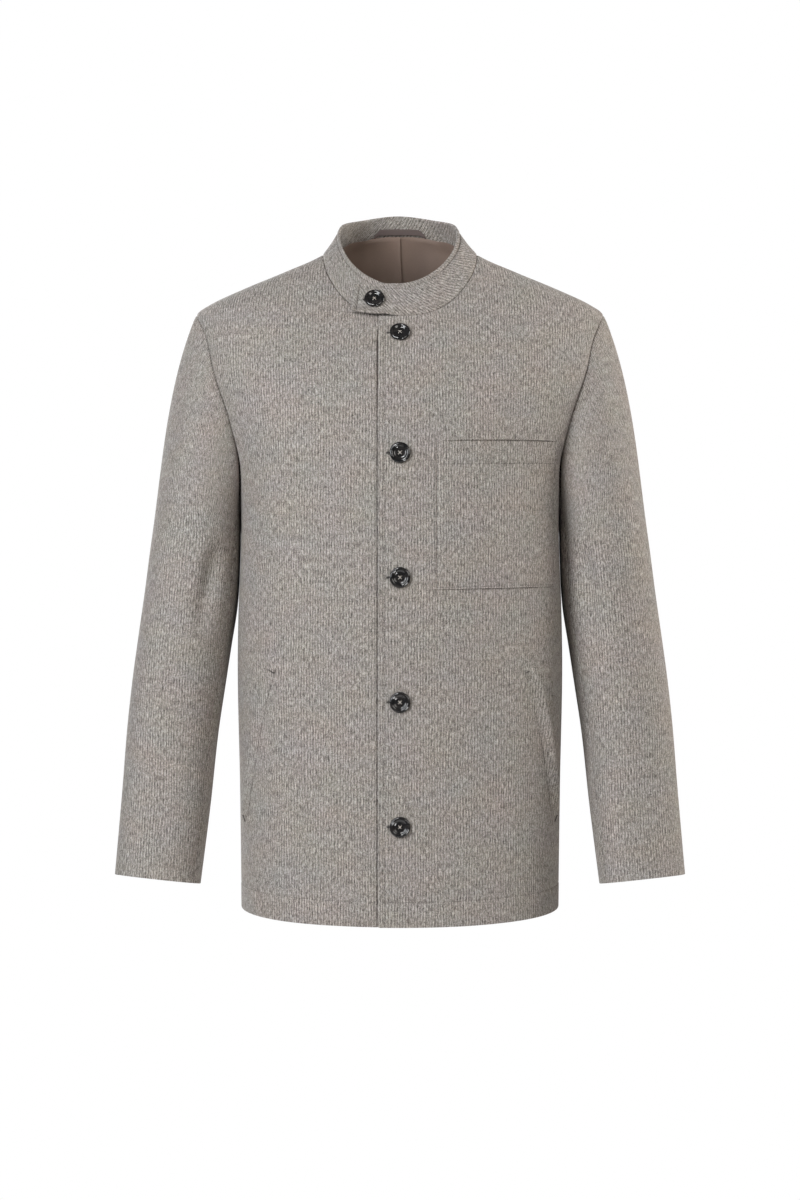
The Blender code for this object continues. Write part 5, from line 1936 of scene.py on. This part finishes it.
class BLAZER_OT_stage(bpy.types.Operator):
    """Set up the camera, the lights, the world and the floor"""

    bl_idname = "blazer.stage"
    bl_label = "Stage"

    def execute(self, context):
        scene = context.scene
        camera = bpy.data.cameras.new("camera")
        camera.lens = CAMERA_LENS
        camera.sensor_width = CAMERA_SENSOR
        camera.sensor_fit = "AUTO"
        viewer = link_object("camera", camera)
        viewer.location = CAMERA_PLACE
        viewer.rotation_euler = (math.pi / 2, 0.0, 0.0)
        scene.camera = viewer
        for name, place, aim, size, power, colour, diffuse in LIGHTS:
            light = bpy.data.lights.new(name, "AREA")
            light.shape = "DISK"
            light.size = size
            light.energy = power
            light.color = colour
            lamp = link_object(name, light)
            lamp.location = place
            lamp.visible_diffuse = diffuse
            lamp.rotation_euler = (Vector(aim) - Vector(place)).to_track_quat("-Z", "Y").to_euler()
        world = bpy.data.worlds.new("studio")
        scene.world = world
        world.use_nodes = True
        tree = world.node_tree
        tree.nodes.remove(tree.nodes["Background"])
        seen = add_node(tree, "ShaderNodeBackground", Color=WHITE, Strength=1.0)
        soft = add_node(tree, "ShaderNodeBackground", Color=AMBIENT_COLOUR, Strength=AMBIENT)
        gleam = add_node(tree, "ShaderNodeBackground", Color=WHITE, Strength=GLOSSY_AMBIENT)
        path = tree.nodes.new("ShaderNodeLightPath")
        mirrored = tree.nodes.new("ShaderNodeMixShader")
        choose = tree.nodes.new("ShaderNodeMixShader")
        wire(tree, (
            (path, "Is Glossy Ray", mirrored, "Fac"),
            (soft, "Background", mirrored, 1),
            (gleam, "Background", mirrored, 2),
            (path, "Is Camera Ray", choose, "Fac"),
            (mirrored, "Shader", choose, 1),
            (seen, "Background", choose, 2),
            (choose, "Shader", tree.nodes["World Output"], "Surface"),
        ))
        disc = bmesh.new()
        bmesh.ops.create_circle(disc, cap_ends=True, segments=FLOOR_SIDES, radius=FLOOR_RADIUS,
                                matrix=Matrix.Translation((0.0, 0.0, FLOOR_HEIGHT)))
        mesh = bpy.data.meshes.new("floor")
        disc.to_mesh(mesh)
        disc.free()
        material, _, shader = start_material("floor_paint", FLOOR_GLOSS)
        shader.inputs["Base Color"].default_value = context.scene.blazer_colours.floor
        mesh.materials.append(material)
        floor = link_object("floor", mesh)
        scene.view_settings.view_transform = "Standard"
        return {"FINISHED"}


class BLAZER_PT_pieces(bpy.types.Panel):
    """Lists the pieces and the values that shape them"""

    bl_idname = "BLAZER_PT_pieces"
    bl_label = "Blazer"
    bl_space_type = "VIEW_3D"
    bl_region_type = "UI"
    bl_category = "Blazer"

    def draw(self, context):
        for maker in MAKERS:
            self.layout.operator(maker.bl_idname)
        for group in (context.scene.blazer_sizes, context.scene.blazer_colours):
            for key in group.bl_rna.properties.keys():
                if key not in ("rna_type", "name"):
                    self.layout.prop(group, key)


MAKERS = (
    BLAZER_OT_stage,
    BLAZER_OT_fronts,
    BLAZER_OT_backs,
    BLAZER_OT_sleeves,
    BLAZER_OT_collar,
    BLAZER_OT_lining,
    BLAZER_OT_loop,
    BLAZER_OT_chest_pocket,
    BLAZER_OT_hand_pockets,
    BLAZER_OT_buttons,
    BLAZER_OT_buttonholes,
    BLAZER_OT_topstitching,
)
CLASSES = (BlazerSizes, BlazerColours) + MAKERS + (BLAZER_PT_pieces,)


def register():
    for item in CLASSES:
        bpy.utils.register_class(item)
    bpy.types.Scene.blazer_sizes = PointerProperty(type=BlazerSizes)
    bpy.types.Scene.blazer_colours = PointerProperty(type=BlazerColours)


def unregister():
    del bpy.types.Scene.blazer_sizes
    del bpy.types.Scene.blazer_colours
    for item in reversed(CLASSES):
        bpy.utils.unregister_class(item)


def main():
    register()
    for maker in MAKERS:
        group, name = maker.bl_idname.split(".")
        getattr(getattr(bpy.ops, group), name)()


if __name__ == "__main__":
    main()
